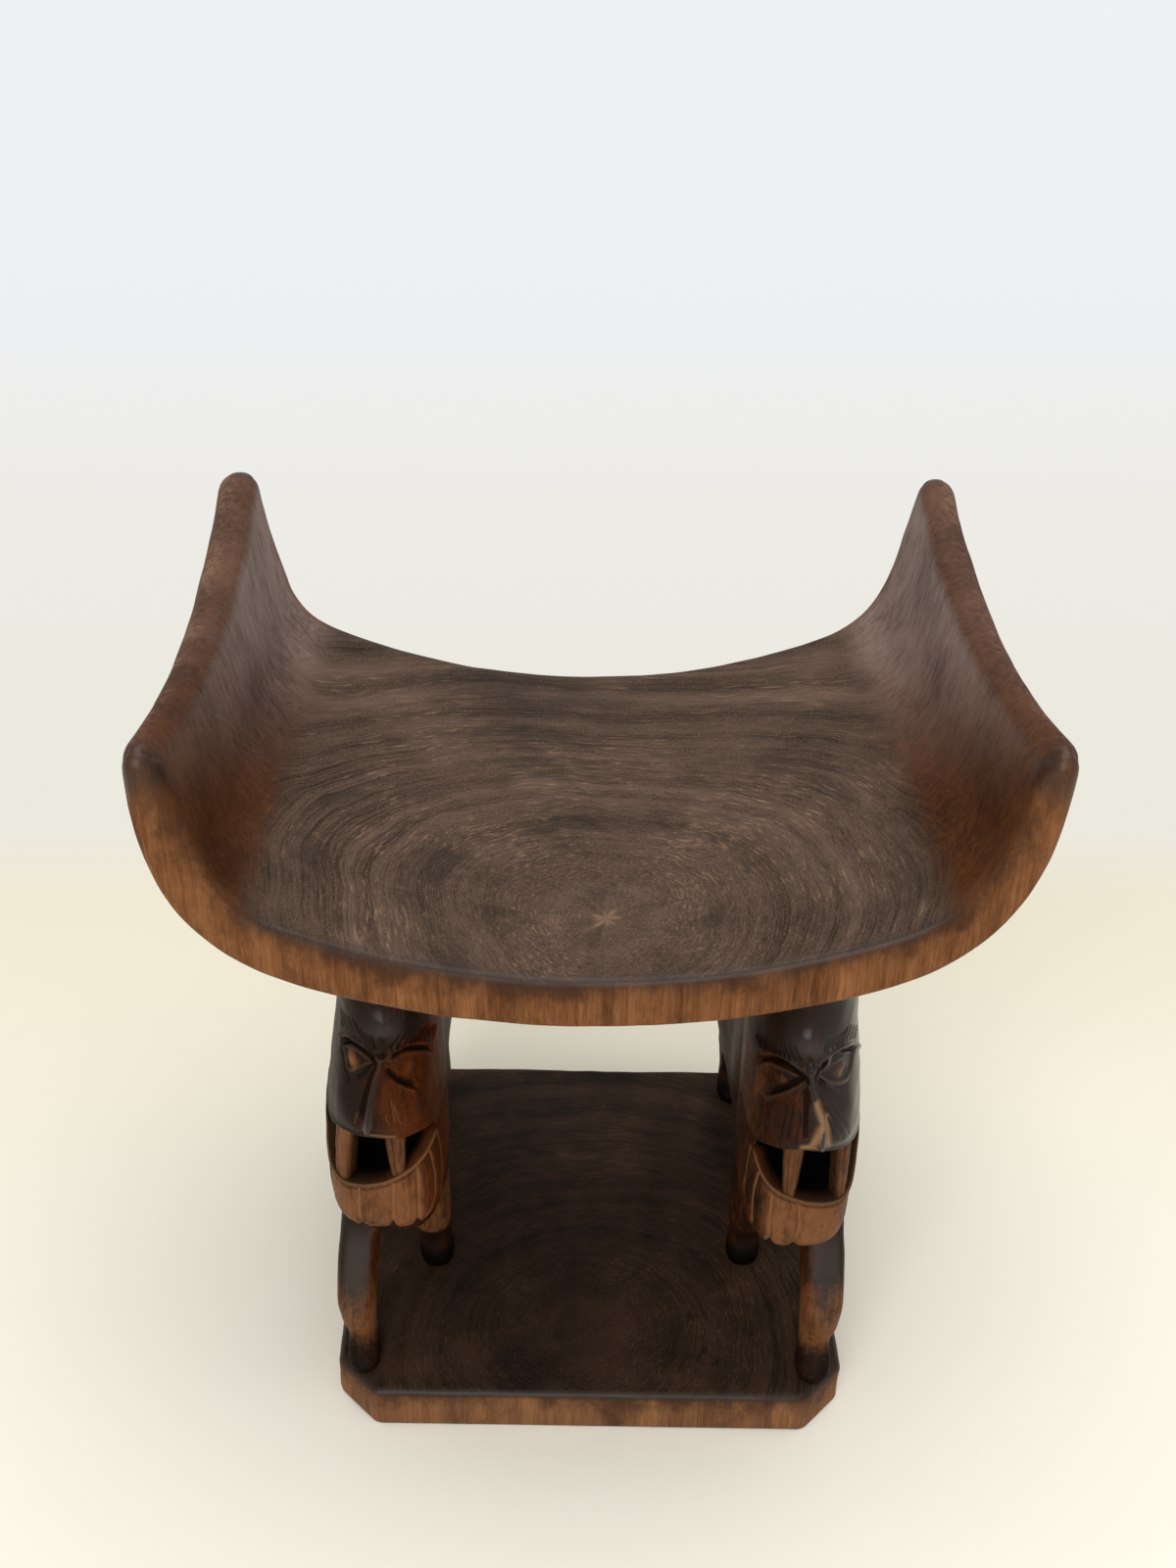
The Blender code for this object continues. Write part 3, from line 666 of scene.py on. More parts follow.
def block(half, cuts):
    """A closed box about the origin, cut into a grid along each axis."""
    bm = bmesh.new()
    bmesh.ops.create_cube(bm, size=2.0, matrix=Matrix.Diagonal((*half, 1.0)))
    for axis, count in enumerate(cuts):
        along = [e for e in bm.edges if abs(e.verts[0].co[axis] - e.verts[1].co[axis]) > 1.9 * half[axis]]
        bmesh.ops.subdivide_edges(bm, edges=along, cuts=count, use_grid_fill=True)
    return bm


def cut_across(bm, axis, place):
    """Cuts every face that crosses a plane square to an axis."""
    normal = Vector((0, 0, 0))
    normal[axis] = 1
    parts = bm.verts[:] + bm.edges[:] + bm.faces[:]
    bmesh.ops.bisect_plane(bm, geom=parts, plane_co=normal * place, plane_no=normal, dist=TOUCH)


def round_pair(points, half, axes, radii):
    """Rounds a block's edges that run across both axes. The radii may change from point to point."""
    axes = list(axes)
    radii = np.array(radii)
    inner = np.array(half)[axes] - radii
    pair = points[:, axes]
    over = np.clip((np.abs(pair) - inner) / radii, 0.0, None)
    length = np.linalg.norm(over, axis=1)
    share = np.max(over, axis=1) / np.maximum(length, 1e-12)
    points[:, axes] = np.clip(pair, -inner, inner) + np.sign(pair) * over * radii * share[:, None]


def dish_height(floor, radius, x):
    return floor + radius - np.sqrt(radius**2 - x**2)


def under_seat(x):
    """Height of the seat's underside."""
    seat = settings().seat
    return dish_height(seat.height - seat.thickness, seat.dish_radius + seat.thickness, x)


class BendLine:
    """One side of the seat's section from its middle to a tip: dish, bend, raised end. Lean in degrees."""

    dish_steps = 60
    bend_steps = 30
    horn_steps = 20

    def __init__(self, floor, radius, tip, top, lean, run, rise):
        slant = math.tan(math.radians(lean))
        z = floor
        for _ in range(40):
            z = dish_height(floor, radius, tip - (top - z) * slant)
        start_x = tip - (top - z) * slant - run
        start = np.array((start_x, dish_height(floor, radius, start_x)))
        slope = start_x / math.sqrt(radius**2 - start_x**2)
        end = np.array((tip - (top - z - rise) * slant, z + rise))
        corner_x = (end[0] + slant * (start[1] - end[1] - slope * start[0])) / (1 - slant * slope)
        corner = np.array((corner_x, start[1] + slope * (corner_x - start[0])))
        across = np.linspace(0.0, start_x, self.dish_steps, endpoint=False)
        dish = np.stack((across, dish_height(floor, radius, across)), axis=1)
        t = np.linspace(0.0, 1.0, self.bend_steps, endpoint=False)[:, None]
        bend = start * (1 - t) ** 2 + corner * 2 * t * (1 - t) + end * t**2
        t = np.linspace(0.0, 1.0, self.horn_steps)[:, None]
        horn = end + (np.array((tip, top)) - end) * t
        self.points = np.concatenate((dish, bend, horn))
        steps = np.linalg.norm(np.diff(self.points, axis=0), axis=1)
        self.along = np.concatenate(([0.0], np.cumsum(steps)))
        self.length = self.along[-1]
        self.along /= self.length
        self.bend_middle = self.along[self.dish_steps + self.bend_steps // 2]
        self.bend_end = self.along[self.dish_steps + self.bend_steps]

    def at(self, share):
        """Distances from the middle and heights."""
        return np.stack([np.interp(share, self.along, part) for part in self.points.T])


class STOOL_OT_seat(bpy.types.Operator):
    """Carve the dished seat with its raised ends"""

    bl_idname = "stool.seat"
    bl_label = "Seat"

    def execute(self, context):
        seat = settings().seat
        look = settings().finish
        tip = seat.width / 2
        top = seat.height + seat.horn_height
        left, right = (
            BendLine(seat.height, seat.dish_radius, tip - seat.horn_thickness, top, seat.inner_lean, *bend)
            for bend in zip(seat.bend_run, seat.bend_rise)
        )
        under = (seat.height - seat.thickness, seat.dish_radius + seat.thickness)
        leans = (seat.left_outer_lean, seat.right_outer_lean)
        left_outer, right_outer = (
            BendLine(*under, tip, top, *bend) for bend in zip(leans, seat.outer_run, seat.outer_rise)
        )
        depth = (SEAT_HIGH.y - SEAT_LOW.y) / 2
        half = ((left.length + left_outer.length) / 2, depth, seat.thickness / 2)
        bm = block(half, (170, 84, 7))
        rounds = (0.92, 0.7, 0.4, 0.15)
        for axis, radius, shares in (
            (0, seat.tip_round, rounds),
            (1, seat.arris_round, rounds),
            (1, seat.tip_arris, (0.95, 0.75, 0.55)),
            (2, seat.arris_round, rounds[:3]),
        ):
            for share in shares:
                cut_across(bm, axis, radius * share - half[axis])
                cut_across(bm, axis, half[axis] - radius * share)
        wood = worn_wood("seat wood", look.worn_dark, look.worn_pale, 1.0, True)
        mesh = piece("seat_carving", bm, wood, "seat_wood", "seat")
        points = read_points(mesh)
        side = np.sign(points[:, 0])

        def by_side(pair):
            return np.where(side > 0, pair[1], pair[0])

        # Where each mark lies on the block, before it is bent.
        from_tip, from_face, from_top = (np.array(half) - np.abs(points)).T
        level = points[:, 2] / half[2]
        middle = by_side((left.bend_middle, right.bend_middle)) - 0.04 * (1 + points[:, 1] / depth) / 2
        raised = ease(middle - 0.06, middle + 0.03, np.abs(points[:, 0]) / half[0])
        arris = bell(np.maximum(from_face, from_top), 0.006) * (level > 0) * (1 - 0.9 * raised)
        cap = fade(0.020, 0.040, from_tip) * fade(0.006, 0.022, from_face)
        tip_edge = fade(0.005, 0.016, from_tip)
        top_side = np.maximum(tip_edge, ease(-0.2, 0.5, level))
        top_side *= 1 - 0.7 * raised * fade(0.002, 0.016, from_face)
        rubbed = fade(0.008, 0.024, from_tip) * fade(-0.5, 0.3, level)

        # The block's edges are rounded, more so towards the tips, and it is bent between the two lines.
        edge_round = seat.arris_round + (seat.tip_arris - seat.arris_round) * fade(0.01, 0.10, from_tip)
        round_pair(points, half, (0, 2), (seat.tip_round, 0.98 * half[2]))
        round_pair(points, half, (1, 2), np.stack((edge_round, 1.3 * edge_round), axis=1))
        round_pair(points, half, (0, 1), (seat.corner_round, seat.corner_round))
        share = np.abs(points[:, 0]) / half[0]
        across = (points[:, 2] / half[2] + 1) / 2
        inner = by_side((left.at(share), right.at(share)))
        outer = by_side((left_outer.at(share), right_outer.at(share)))
        x, z = outer + (inner - outer) * across

        # The ends dip between their corners and change towards the back.
        y = points[:, 1]
        rear = (1 + y / depth) / 2
        lift = np.clip((z - seat.height) / seat.horn_height, 0.0, 1.0)
        horn = ease(left.bend_end - 0.04, 1.0, share)
        drop = horn * (seat.end_dip * (1 - (y / depth) ** 2) - by_side(seat.rear_rise) * rear)
        inset = by_side(seat.rear_swell) * by_side((lift**3, lift)) * across
        inset += seat.right_inset * lift * (side > 0)
        taper = seat.rear_taper * (1 - across) * ease(0.65, 1.0, rear) * horn
        x = x - drop * math.tan(math.radians(seat.inner_lean)) - inset * rear - taper
        shaped = np.column_stack((side * x, y, z - drop + seat.rear_lift * across * rear**2))
        write_points(mesh, shaped)
        normals = read_normals(mesh)
        marks = dents(shaped, 28.0, 3.0) + 0.5 * dents(shaped, 70.0, 9.0)
        write_points(mesh, shaped + normals * (seat.tool_marks * marks)[:, None])
        write_marks(
            mesh,
            arris=np.maximum(arris, cap),
            top=top_side * fade(0.55, 0.9, np.abs(normals[:, 1])),
            stain=ease(0.25, 1.0, across),
            raised=raised,
            rubbed=rubbed,
            # Where the painted sheen lies: higher up and towards the back, less at the top edges.
            haze=ease(0.40, 1.05, 0.55 * lift + 0.75 * rear) * (1 - 0.8 * tip_edge),
        )
        return {"FINISHED"}


class STOOL_OT_base(bpy.types.Operator):
    """Carve the base with its cut corners and sloped lip"""

    bl_idname = "stool.base"
    bl_label = "Base"

    def execute(self, context):
        base = settings().base
        look = settings().finish
        half = (BASE_HIGH - BASE_LOW) / 2
        bm = bmesh.new()
        place = Matrix.Translation((BASE_LOW + BASE_HIGH) / 2) @ Matrix.Diagonal((*half, 1.0))
        bmesh.ops.create_cube(bm, size=2.0, matrix=place)
        self.bevel(bm, lambda low, high: high - low > half.z, base.corner_cut, 1)
        self.bevel(bm, lambda low, high: high - low > half.z, base.corner_round, 3)
        self.bevel(bm, lambda low, high: low > half.z, base.lip, 4)
        self.bevel(bm, lambda low, high: high < TOUCH, base.foot_round, 2)
        for axis, count in enumerate((60, 54, 7)):
            for i in range(1, count):
                cut_across(bm, axis, (BASE_LOW[axis] * (count - i) + BASE_HIGH[axis] * i) / count)
        wood = worn_wood("base wood", look.base_dark, look.base_pale, 0.45, False)
        mesh = piece("base_carving", bm, wood, "base_wood", "base")
        points = read_points(mesh)
        normals = read_normals(mesh)
        marks = dents(points, 22.0, 5.0) + 0.5 * dents(points, 60.0, 1.0)
        points += normals * (base.tool_marks * ease(0.0, 0.006, points[:, 2]) * marks)[:, None]
        points[:, 0] -= base.left_swell * np.clip(-points[:, 0] / half.x, 0.0, 1.0)
        points[:, 1] -= base.skew * points[:, 0]
        write_points(mesh, points)
        height = points[:, 2]
        slope = np.abs(normals[:, 2])
        edge = ease(BASE_HIGH.z - 0.009, BASE_HIGH.z - 0.003, height)
        write_marks(
            mesh,
            top=ease(0.3, 0.7, normals[:, 2]),
            stain=ease(0.25, 1.0, height / BASE_HIGH.z),
            arris=edge * ease(0.05, 0.3, slope) * fade(0.8, 0.97, slope),
        )
        return {"FINISHED"}

    def bevel(self, bm, chosen, width, segments):
        """Bevels the edges that are chosen by the heights of their lower and upper end."""
        edges = [e for e in bm.edges if chosen(*sorted(v.co.z for v in e.verts))]
        bmesh.ops.bevel(
            bm, geom=edges, offset=width, affect="EDGES", segments=segments, profile=0.5, material=-1
        )


def smooth_line(points, place):
    """The value at each place along a line of (place, value) points, with its corners rounded off."""
    xs, ys = np.array(points, dtype=float).T
    return sum(np.interp(place + shift, xs, ys) for shift in (-4, -2, 0, 2, 4)) / 5


def line_distance(across, height, points):
    """How far each place on the skin is from a line of points."""
    best = np.full(len(across), 1e9)
    for (x0, z0), (x1, z1) in zip(points, points[1:]):
        dx, dz = x1 - x0, z1 - z0
        share = np.clip(((across - x0) * dx + (height - z0) * dz) / (dx * dx + dz * dz), 0.0, 1.0)
        best = np.minimum(best, np.hypot(across - x0 - share * dx, height - z0 - share * dz))
    return best


def curved(points):
    """The same line with its corners cut off twice, so that it bends smoothly."""
    points = np.array(points, dtype=float)
    for _ in range(2):
        near = points[:-1] * 0.75 + points[1:] * 0.25
        far = points[:-1] * 0.25 + points[1:] * 0.75
        cut = np.stack((near, far), axis=1).reshape(-1, 2)
        points = np.concatenate((points[:1], cut[1:-1], points[-1:]))
    return points


def comb(first, last, count):
    """A row of strokes that turns evenly from the first stroke into the last."""
    first, last = np.array(first, dtype=float), np.array(last, dtype=float)
    return [first + (last - first) * i / (count - 1) for i in range(count)]


def quarter_ring(wide, deep, squareness):
    """A level cut through a head, from the middle of its front round to the back: way round, x and y."""
    turn = np.linspace(0.0, math.pi / 2, 600)
    x = wide * np.sin(turn) ** (2 / squareness)
    y = deep * np.clip(np.cos(turn), 0.0, 1.0) ** (2 / squareness)
    return np.concatenate(([0.0], np.cumsum(np.hypot(np.diff(x), np.diff(y))))), x, y


class Head:
    """The skin of a lion's head. Places are in mm: round from the middle of the front, up from the mouth."""

    def __init__(self, name):
        lion = settings().lion
        low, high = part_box(f"{name}_lion_head")
        beard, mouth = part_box(f"{name}_lion_jaw")
        self.face = FACES[name]
        self.outward = SIDES[name]
        self.middle = (low.x + high.x) / 2
        self.back = lion.neck + lion.neck_overlap
        self.neck = lion.neck_width / 2
        self.throat = np.array((self.middle, lion.throat))
        self.mouth = mouth.z
        self.bottom = 1000 * (beard.z - mouth.z)
        self.top = 1000 * (under_seat(self.middle) + OVERLAP - mouth.z)
        wide = (high.x - low.x) / 2
        deep = lion.muzzle + lion.neck_overlap
        squares = (lion.jaw_squareness, lion.brow_squareness)
        self.rings = [quarter_ring(wide, deep, square) for square in squares]
        self.length = 1000 * np.mean([ring[0][-1] for ring in self.rings])

    def lips(self, across):
        """Heights of the upper lip and of the lower lip's rim."""
        lip = smooth_line(self.face["lip"], across)
        return lip, np.minimum(smooth_line(self.face["rim"], across), lip - 3)

    def gape(self, across):
        """1 over the width of the mouth, 0 beyond its corners."""
        left, right = self.face["lip"][0][0], self.face["lip"][-1][0]
        return ease(left, left + 9, across) * fade(right - 9, right, across)

    def skin(self, across, height):
        """Where places of the skin are, seen from above."""
        level = np.where(height < 0, -height * 100 / self.bottom, height)
        widths = [smooth_line(self.face[side], level) for side in ("outer_widths", "inner_widths")]
        way = np.abs(across) / self.length
        jaw, brow = (
            np.stack([np.interp(way * along[-1], along, part) for part in parts])
            for along, *parts in self.rings
        )
        x, y = jaw + (brow - jaw) * ease(-60, 60, level)
        x *= np.where(across * self.outward > 0, *widths)
        x += (np.minimum(x, self.neck) - x) * ease(0.72, 1.0, way)
        y *= smooth_line(FACE_PROFILE, level)
        return np.column_stack((self.middle + np.sign(across) * x, self.back - y))


class STOOL_OT_heads(bpy.types.Operator):
    """Carve the two heads with their faces, beards and open mouths"""

    bl_idname = "stool.heads"
    bl_label = "Heads"

    # Half width of a face's front in mm, and the rows of the block that follow the rim and the upper lip.
    front = 62.0
    rim_row = -0.16
    lip_row = 0.12

    def execute(self, context):
        material = polished_wood("lion wood")
        for name in SIDES:
            bm = block((1, 1, 1), (156, 34, 320))
            bmesh.ops.dissolve_faces(bm, faces=[face for face in bm.faces if face.normal.y > 0.9])
            nodes = (f"{name}_lion_head", f"{name}_lion_jaw")
            self.carve(piece(f"{name}_head_carving", bm, material, "lion_wood", *nodes), Head(name))
        return {"FINISHED"}

    def carve(self, mesh, head):
        lion = settings().lion
        face = head.face
        a, b, c = read_points(mesh).T

        # Round from the middle of the front to the back of each cheek, and the same round smaller cores.
        inward = np.maximum(np.abs(a), np.abs(b))
        wall_a, wall_b = (part / np.maximum(inward, 1e-9) for part in (a, b))
        at_side = np.abs(wall_a) > 1 - TOUCH
        back = (wall_b > 1 - TOUCH) & ~at_side
        cheek = self.front + (head.length - self.front) * (wall_b + 1) / 2
        along = np.where(back, head.length, np.where(at_side, cheek, self.front * np.abs(wall_a)))
        across = np.where(wall_a < 0, -along, along)
        outwards = across * head.outward

        # Up the head in three stretches, so that rows of the mesh follow both lips.
        lip, rim = head.lips(across)
        low_share, open_share, high_share = (
            np.clip((c - low) / (high - low), 0.0, 1.0)
            for low, high in ((-1, self.rim_row), (self.rim_row, self.lip_row), (self.lip_row, 1))
        )
        bottom = head.bottom - 7 * ease(10, 50, outwards) + 8 * ease(5, 45, -outwards)
        height = bottom + (rim - bottom) * low_share + (lip - rim) * open_share
        height += (head.top - lip) * high_share
        flat = head.skin(across, height)
        flat[:, 0] = head.middle + (flat[:, 0] - head.middle) * np.where(back, np.abs(wall_a), 1.0)
        flat = head.throat + (flat - head.throat) * inward[:, None]
        z = head.mouth + height / 1000
        z = z + np.clip((c + 1) / 2, 0, 1) ** 8 * (under_seat(flat[:, 0]) - under_seat(head.middle))
        skin = np.column_stack((flat, z))
        write_points(mesh, skin)

        rise, tint = self.strokes(head, across, height, lip, rim)
        outside = (inward > 1 - TOUCH) & ~back
        free = outside * fade(0.90, 1.0, c) * fade(90, 100, np.abs(across))
        rise = rise + 1000 * lion.tool_marks * dents(skin, 90.0, 4.0)
        skin = skin + read_normals(mesh) * (rise * free / 1000)[:, None]

        # The bottom of the beard is cut into locks, and the mouth is hollowed.
        lock = np.min([np.abs(across - points[-1][0]) for points in face["strokes"]["beard_cut"]], axis=0)
        skin[:, 2] += 0.003 * bell(lock, 3.0) * fade(0, 22, height - bottom)
        row = 0.012
        hollow = ease(self.rim_row, self.rim_row + row, c) * fade(self.lip_row - row, self.lip_row, c)
        hollow = hollow * head.gape(across) * outside
        skin[:, :2] += (head.throat - skin[:, :2]) * (lion.mouth_depth * hollow)[:, None]
        skin[:, 2] -= lion.mouth_sink * hollow * fade(0.0, 0.6, open_share)
        write_points(mesh, skin)

        pale = 0.8 * ease(0, 4, rim - height) * fade(36, 60, outwards) * (1 - 0.7 * ease(20, 32, -outwards))
        for *eye, bare in face["eyes"]:
            pale = np.maximum(pale, bare * swell(across, height, eye, 8, 5.5))
        inner_cheek = 0.4 * ease(22, 50, -outwards) * fade(30, 60, height) * (height > lip)
        ridge = line_distance(across, height, face["strokes"]["nose"][0])
        gloss = 0.4 * swell(across, height, face["forehead"], 14, 12) + 0.25 * ease(1.0, 4.0, rise)
        gloss += 0.5 * bell(ridge, 2.2) * fade(6, 24, height)
        gloss += face["sheen"] * ease(-20, 30, outwards) * fade(55, 95, outwards)
        write_marks(
            mesh,
            warm=face["warmth"] * ease(-16, 14, -outwards) * (1 - 0.85 * ease(46, 66, height)),
            pale=np.maximum(pale, inner_cheek),
            gloss=gloss * (height > lip),
            # Bare wood along the chisel strokes, and painted highlight on the lid and brow ridges.
            cut=np.clip(tint, 0, 1) * free,
            # Painted shade along the dark cuts and grooves.
            soot=np.clip(-tint, 0, 1) * free,
            # Painted shade inside the mouth.
            hollow=hollow * ease(0.0, 0.08, open_share),
        )

    def strokes(self, head, across, height, lip, rim):
        """How far the carving stands out of each place of the skin, in mm, and how pale or dark it is."""
        face = head.face
        rise = 2.6 * swell(across, height, face["forehead"], 10, 10) + 0.7 * bell(height - lip - 1.2, 1.4)
        rise += 1.4 * bell(rim - 2 - height, 1.8) - 1.0 * bell(rim - 6 - height, 1.0)
        for *eye, _ in face["eyes"]:
            rise += 3.4 * swell(across, height, eye, 8.0, 5.6) - 3.8 * swell(across, height, eye, 14, 11)
            rise += 1.8 * swell(across, height, (eye[0] * 1.2, eye[1] - 26), 12, 12)
        # Pale along the lower lip's rim, and painted shade in the groove under it.
        tint = head.gape(across) * (0.35 * bell(rim - 1 - height, 0.9) - 0.6 * bell(rim - 6 - height, 0.9))
        combs = [stroke for row in face["combs"] for stroke in comb(*row)]
        for tool, lines in (*face["strokes"].items(), ("comb", combs)):
            # Painted shade and dirt darken what the other tools have cut, before the comb goes over it.
            if tool == "comb":
                dirt_and_shade = -0.55 * ease(0.5, 4.0, -rise)
                tint = np.where(tint > 0.05, tint, np.minimum(tint, dirt_and_shade))
            tall, wide, pale = CHISELS[tool]
            for points in lines:
                away = line_distance(across, height, curved(points))
                rise += tall * bell(away, wide)
                mark = pale * bell(away, 0.7 * wide)
                tint = np.where(np.abs(mark) > np.abs(tint), mark, tint)
        return rise, tint


def limb(bm, stations, squareness, sides):
    """Adds a closed limb through level rings, given as (middle, half width, half depth)."""
    middle, wide, deep = stations[0]
    ring = bmesh.ops.create_circle(bm, cap_ends=True, segments=sides, radius=1.0)["verts"]
    for vertex in ring:
        x, y = (math.copysign(abs(v) ** (2 / squareness), v) for v in vertex.co.xy)
        vertex.co = middle + Vector((x * wide, y * deep, 0.0))
    held = set(ring)
    edges = [edge for edge in bm.edges if held.issuperset(edge.verts)]
    for there, next_wide, next_deep in stations[1:]:
        grown = bmesh.ops.extrude_edge_only(bm, edges=edges)["geom"]
        held = {part for part in grown if isinstance(part, bmesh.types.BMVert)}
        edges = [part for part in grown if isinstance(part, bmesh.types.BMEdge)]
        edges = [edge for edge in edges if held.issuperset(edge.verts)]
        for vertex in held:
            off = vertex.co - middle
            vertex.co = there + Vector((off.x * next_wide / wide, off.y * next_deep / deep, 0.0))
        middle, wide, deep = there, next_wide, next_deep
    bmesh.ops.edgeloop_fill(bm, edges=edges)


def moulded(bm, cell, passes):
    """One smooth skin over all the overlapping closed shapes of a bmesh."""
    bmesh.ops.recalc_face_normals(bm, faces=bm.faces)
    rough = stand("shapes", bm)
    remesh = rough.modifiers.new("one skin", "REMESH")
    remesh.mode = "VOXEL"
    remesh.voxel_size = cell
    graph = bpy.context.evaluated_depsgraph_get()
    made = bmesh.new()
    made.from_mesh(rough.evaluated_get(graph).to_mesh())
    bpy.data.objects.remove(rough)
    every_way = {"use_axis_x": True, "use_axis_y": True, "use_axis_z": True}
    for _ in range(passes):
        bmesh.ops.smooth_vert(made, verts=made.verts, factor=0.5, **every_way)
    return made


class STOOL_OT_bodies(bpy.types.Operator):
    """Carve the two bodies with their legs and tails"""

    bl_idname = "stool.bodies"
    bl_label = "Bodies"

    def execute(self, context):
        material = bpy.data.materials["lion wood"]
        for name, side in SIDES.items():
            low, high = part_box(f"{name}_lion_body")
            middle = (low.x + high.x) / 2
            bm = moulded(self.shapes(name, side, middle, low.y), settings().lion.cell, 7)
            nodes = [f"{name}_lion_{part}" for part in ("body", *LEGS)]
            self.carve(piece(f"{name}_body_carving", bm, material, "lion_wood", *nodes), name, side, middle)
        return {"FINISHED"}

    def shapes(self, name, side, middle, breast):
        """Trunk, chest, legs and tail as closed shapes that overlap."""
        bm = bmesh.new()
        trunk = []
        for z, wide, front, back in TRUNK:
            trunk.append((Vector((middle, (front + back) / 2, z)), wide, (back - front) / 2))
        limb(bm, trunk, 3.6, 48)
        chest = []
        chest_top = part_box(f"{name}_lion_jaw")[0].z + 0.01
        for z, wide, front in (*CHEST, (chest_top, *CHEST_TOP)):
            deep = abs(breast + front) / 2
            chest.append((Vector((middle, -deep, z)), wide, deep))
        limb(bm, chest, 3.2, 40)
        for leg, (spread, reach, shape) in LEGS.items():
            shift = FORWARD_LEGS[name] if leg == "outer_fore_leg" else STRAIGHT
            tuck = TUCKS[name] if leg == "inner_hind_leg" else 0.0
            self.add_leg(bm, side, spread + tuck, reach, shape, shift)
        rump = max(back for _, _, _, back in TRUNK)
        tail = [(Vector((middle, rump + behind - 0.006, z)), wide, 0.008) for z, behind, wide in TAIL]
        limb(bm, tail, 2.0, 20)
        return bm

    def add_leg(self, bm, side, spread, reach, shape, shift):
        """Adds a leg that leans in to the body from its paw up."""
        out, behind, narrow, bow = shift
        leaning_height = 0.113
        stations = []
        for z, back, wide, deep in shape:
            lean = min(1.0, z / leaning_height)
            spare = out * (1 - lean) + bow * math.sin(math.pi * lean)
            x = side * (settings().lion.spacing / 2 + spread * (1 - 0.2 * lean) + spare)
            y = reach + back + behind * (1 - lean)
            stations.append((Vector((x, y, BASE_HIGH.z - 0.002 + z)), wide * narrow, deep))
        limb(bm, stations, 2.3, 24)

    def carve(self, mesh, name, side, middle):
        lion = settings().lion
        x, y, z = read_points(mesh).T
        inner = np.clip(side * (middle - x) / 0.03, 0.0, 1.0) * ease(0.12, 0.17, z)
        x = x + side * TUCKS[name] * inner * ease(-0.03, 0.09, y)
        z = np.clip(z, BASE_HIGH.z - OVERLAP, under_seat(x) + OVERLAP)
        points = np.column_stack((x, y, z))
        write_points(mesh, points)
        normals = read_normals(mesh)
        over = z - BASE_HIGH.z
        marks = lion.tool_marks * dents(points, 60.0, 7.0)
        flank = ease(0.145, 0.175, z) * ease(0.2, 0.8, np.abs(normals[:, 0]))
        for *place, long, tall, muscle in MUSCLES:
            marks += muscle * flank * swell(y, z, place, long, tall)
        marks *= ease(0.0, 0.004, over) * fade(0.32, 0.34, over)
        write_points(mesh, points + normals * marks[:, None])

        # The forward legs are rubbed bare low down and shine above. The set-back legs are bare over the paw.
        outer = ease(-0.008, 0.008, np.abs(x) - lion.spacing / 2)
        low = over - 0.012 * (1 + normals[:, 1])
        shin = (0.2 + 0.7 * ease(0.006, 0.032, over)) * fade(0.020, 0.105, low)
        knee = BARE_KNEES[name] * ease(0.036, 0.050, over) * fade(0.085, 0.105, over)
        facing = ease(0.55, 0.95, -normals[:, 1])
        write_marks(
            mesh,
            pale=outer * shin + (1 - outer) * knee,
            warm=0.4 + outer * (0.5 * ease(-0.4, 1.0, -side * normals[:, 0]) - 0.3),
            # Darker near the base, and further up on the set-back legs.
            soot=0.7 * fade(0.011, 0.020, over) + 0.35 * (1 - outer) * fade(0.022, 0.036, over),
            gloss=0.75 * outer * facing * ease(0.04, 0.08, low) * fade(0.10, 0.13, over),
        )


class STOOL_OT_fangs(bpy.types.Operator):
    """Carve the two fangs in each mouth"""

    bl_idname = "stool.fangs"
    bl_label = "Fangs"

    def execute(self, context):
        material = polished_wood("fang wood")
        for name in SIDES:
            head = Head(name)
            for place, shape in head.face["fangs"].items():
                bm = block((1, 1, 1), (20, 12, 44))
                node = f"{name}_lion_{place}_fang"
                mesh = piece(f"{name}_{place}_fang_carving", bm, material, "fang_wood", node)
                self.carve(mesh, head, *shape)
        return {"FINISHED"}

    def carve(self, mesh, head, across, top_half, low_half):
        """Fits a fang between the lips, flush with the face."""
        a, b, c = read_points(mesh).T
        share = (c + 1) / 2
        lip, rim = head.lips(np.full(len(a), float(across)))
        height = rim - 2 + (lip - rim + 5) * share
        flat = head.skin(across + a * (low_half + (top_half - low_half) * share), height)
        inwards = head.throat - flat
        inwards /= np.linalg.norm(inwards, axis=1)[:, None]
        deep = 0.0004 + 0.012 * (b + 1) / 2 + 0.003 * a**4 * (1 - b) / 2
        points = np.column_stack((flat + inwards * deep[:, None], head.mouth + height / 1000))
        write_points(mesh, points)
        groove = bell(a + 0.35, 0.12) * (b < -0.99)
        dent = -0.0006 * groove + 0.0004 * dents(points, 150.0, 2.0)
        write_points(mesh, points + read_normals(mesh) * dent[:, None])
        # Darker along the groove and towards the fang's sides.
        write_marks(mesh, pale=np.full(len(a), 0.65), soot=0.5 * groove + 0.6 * ease(0.6, 1.0, np.abs(a)))


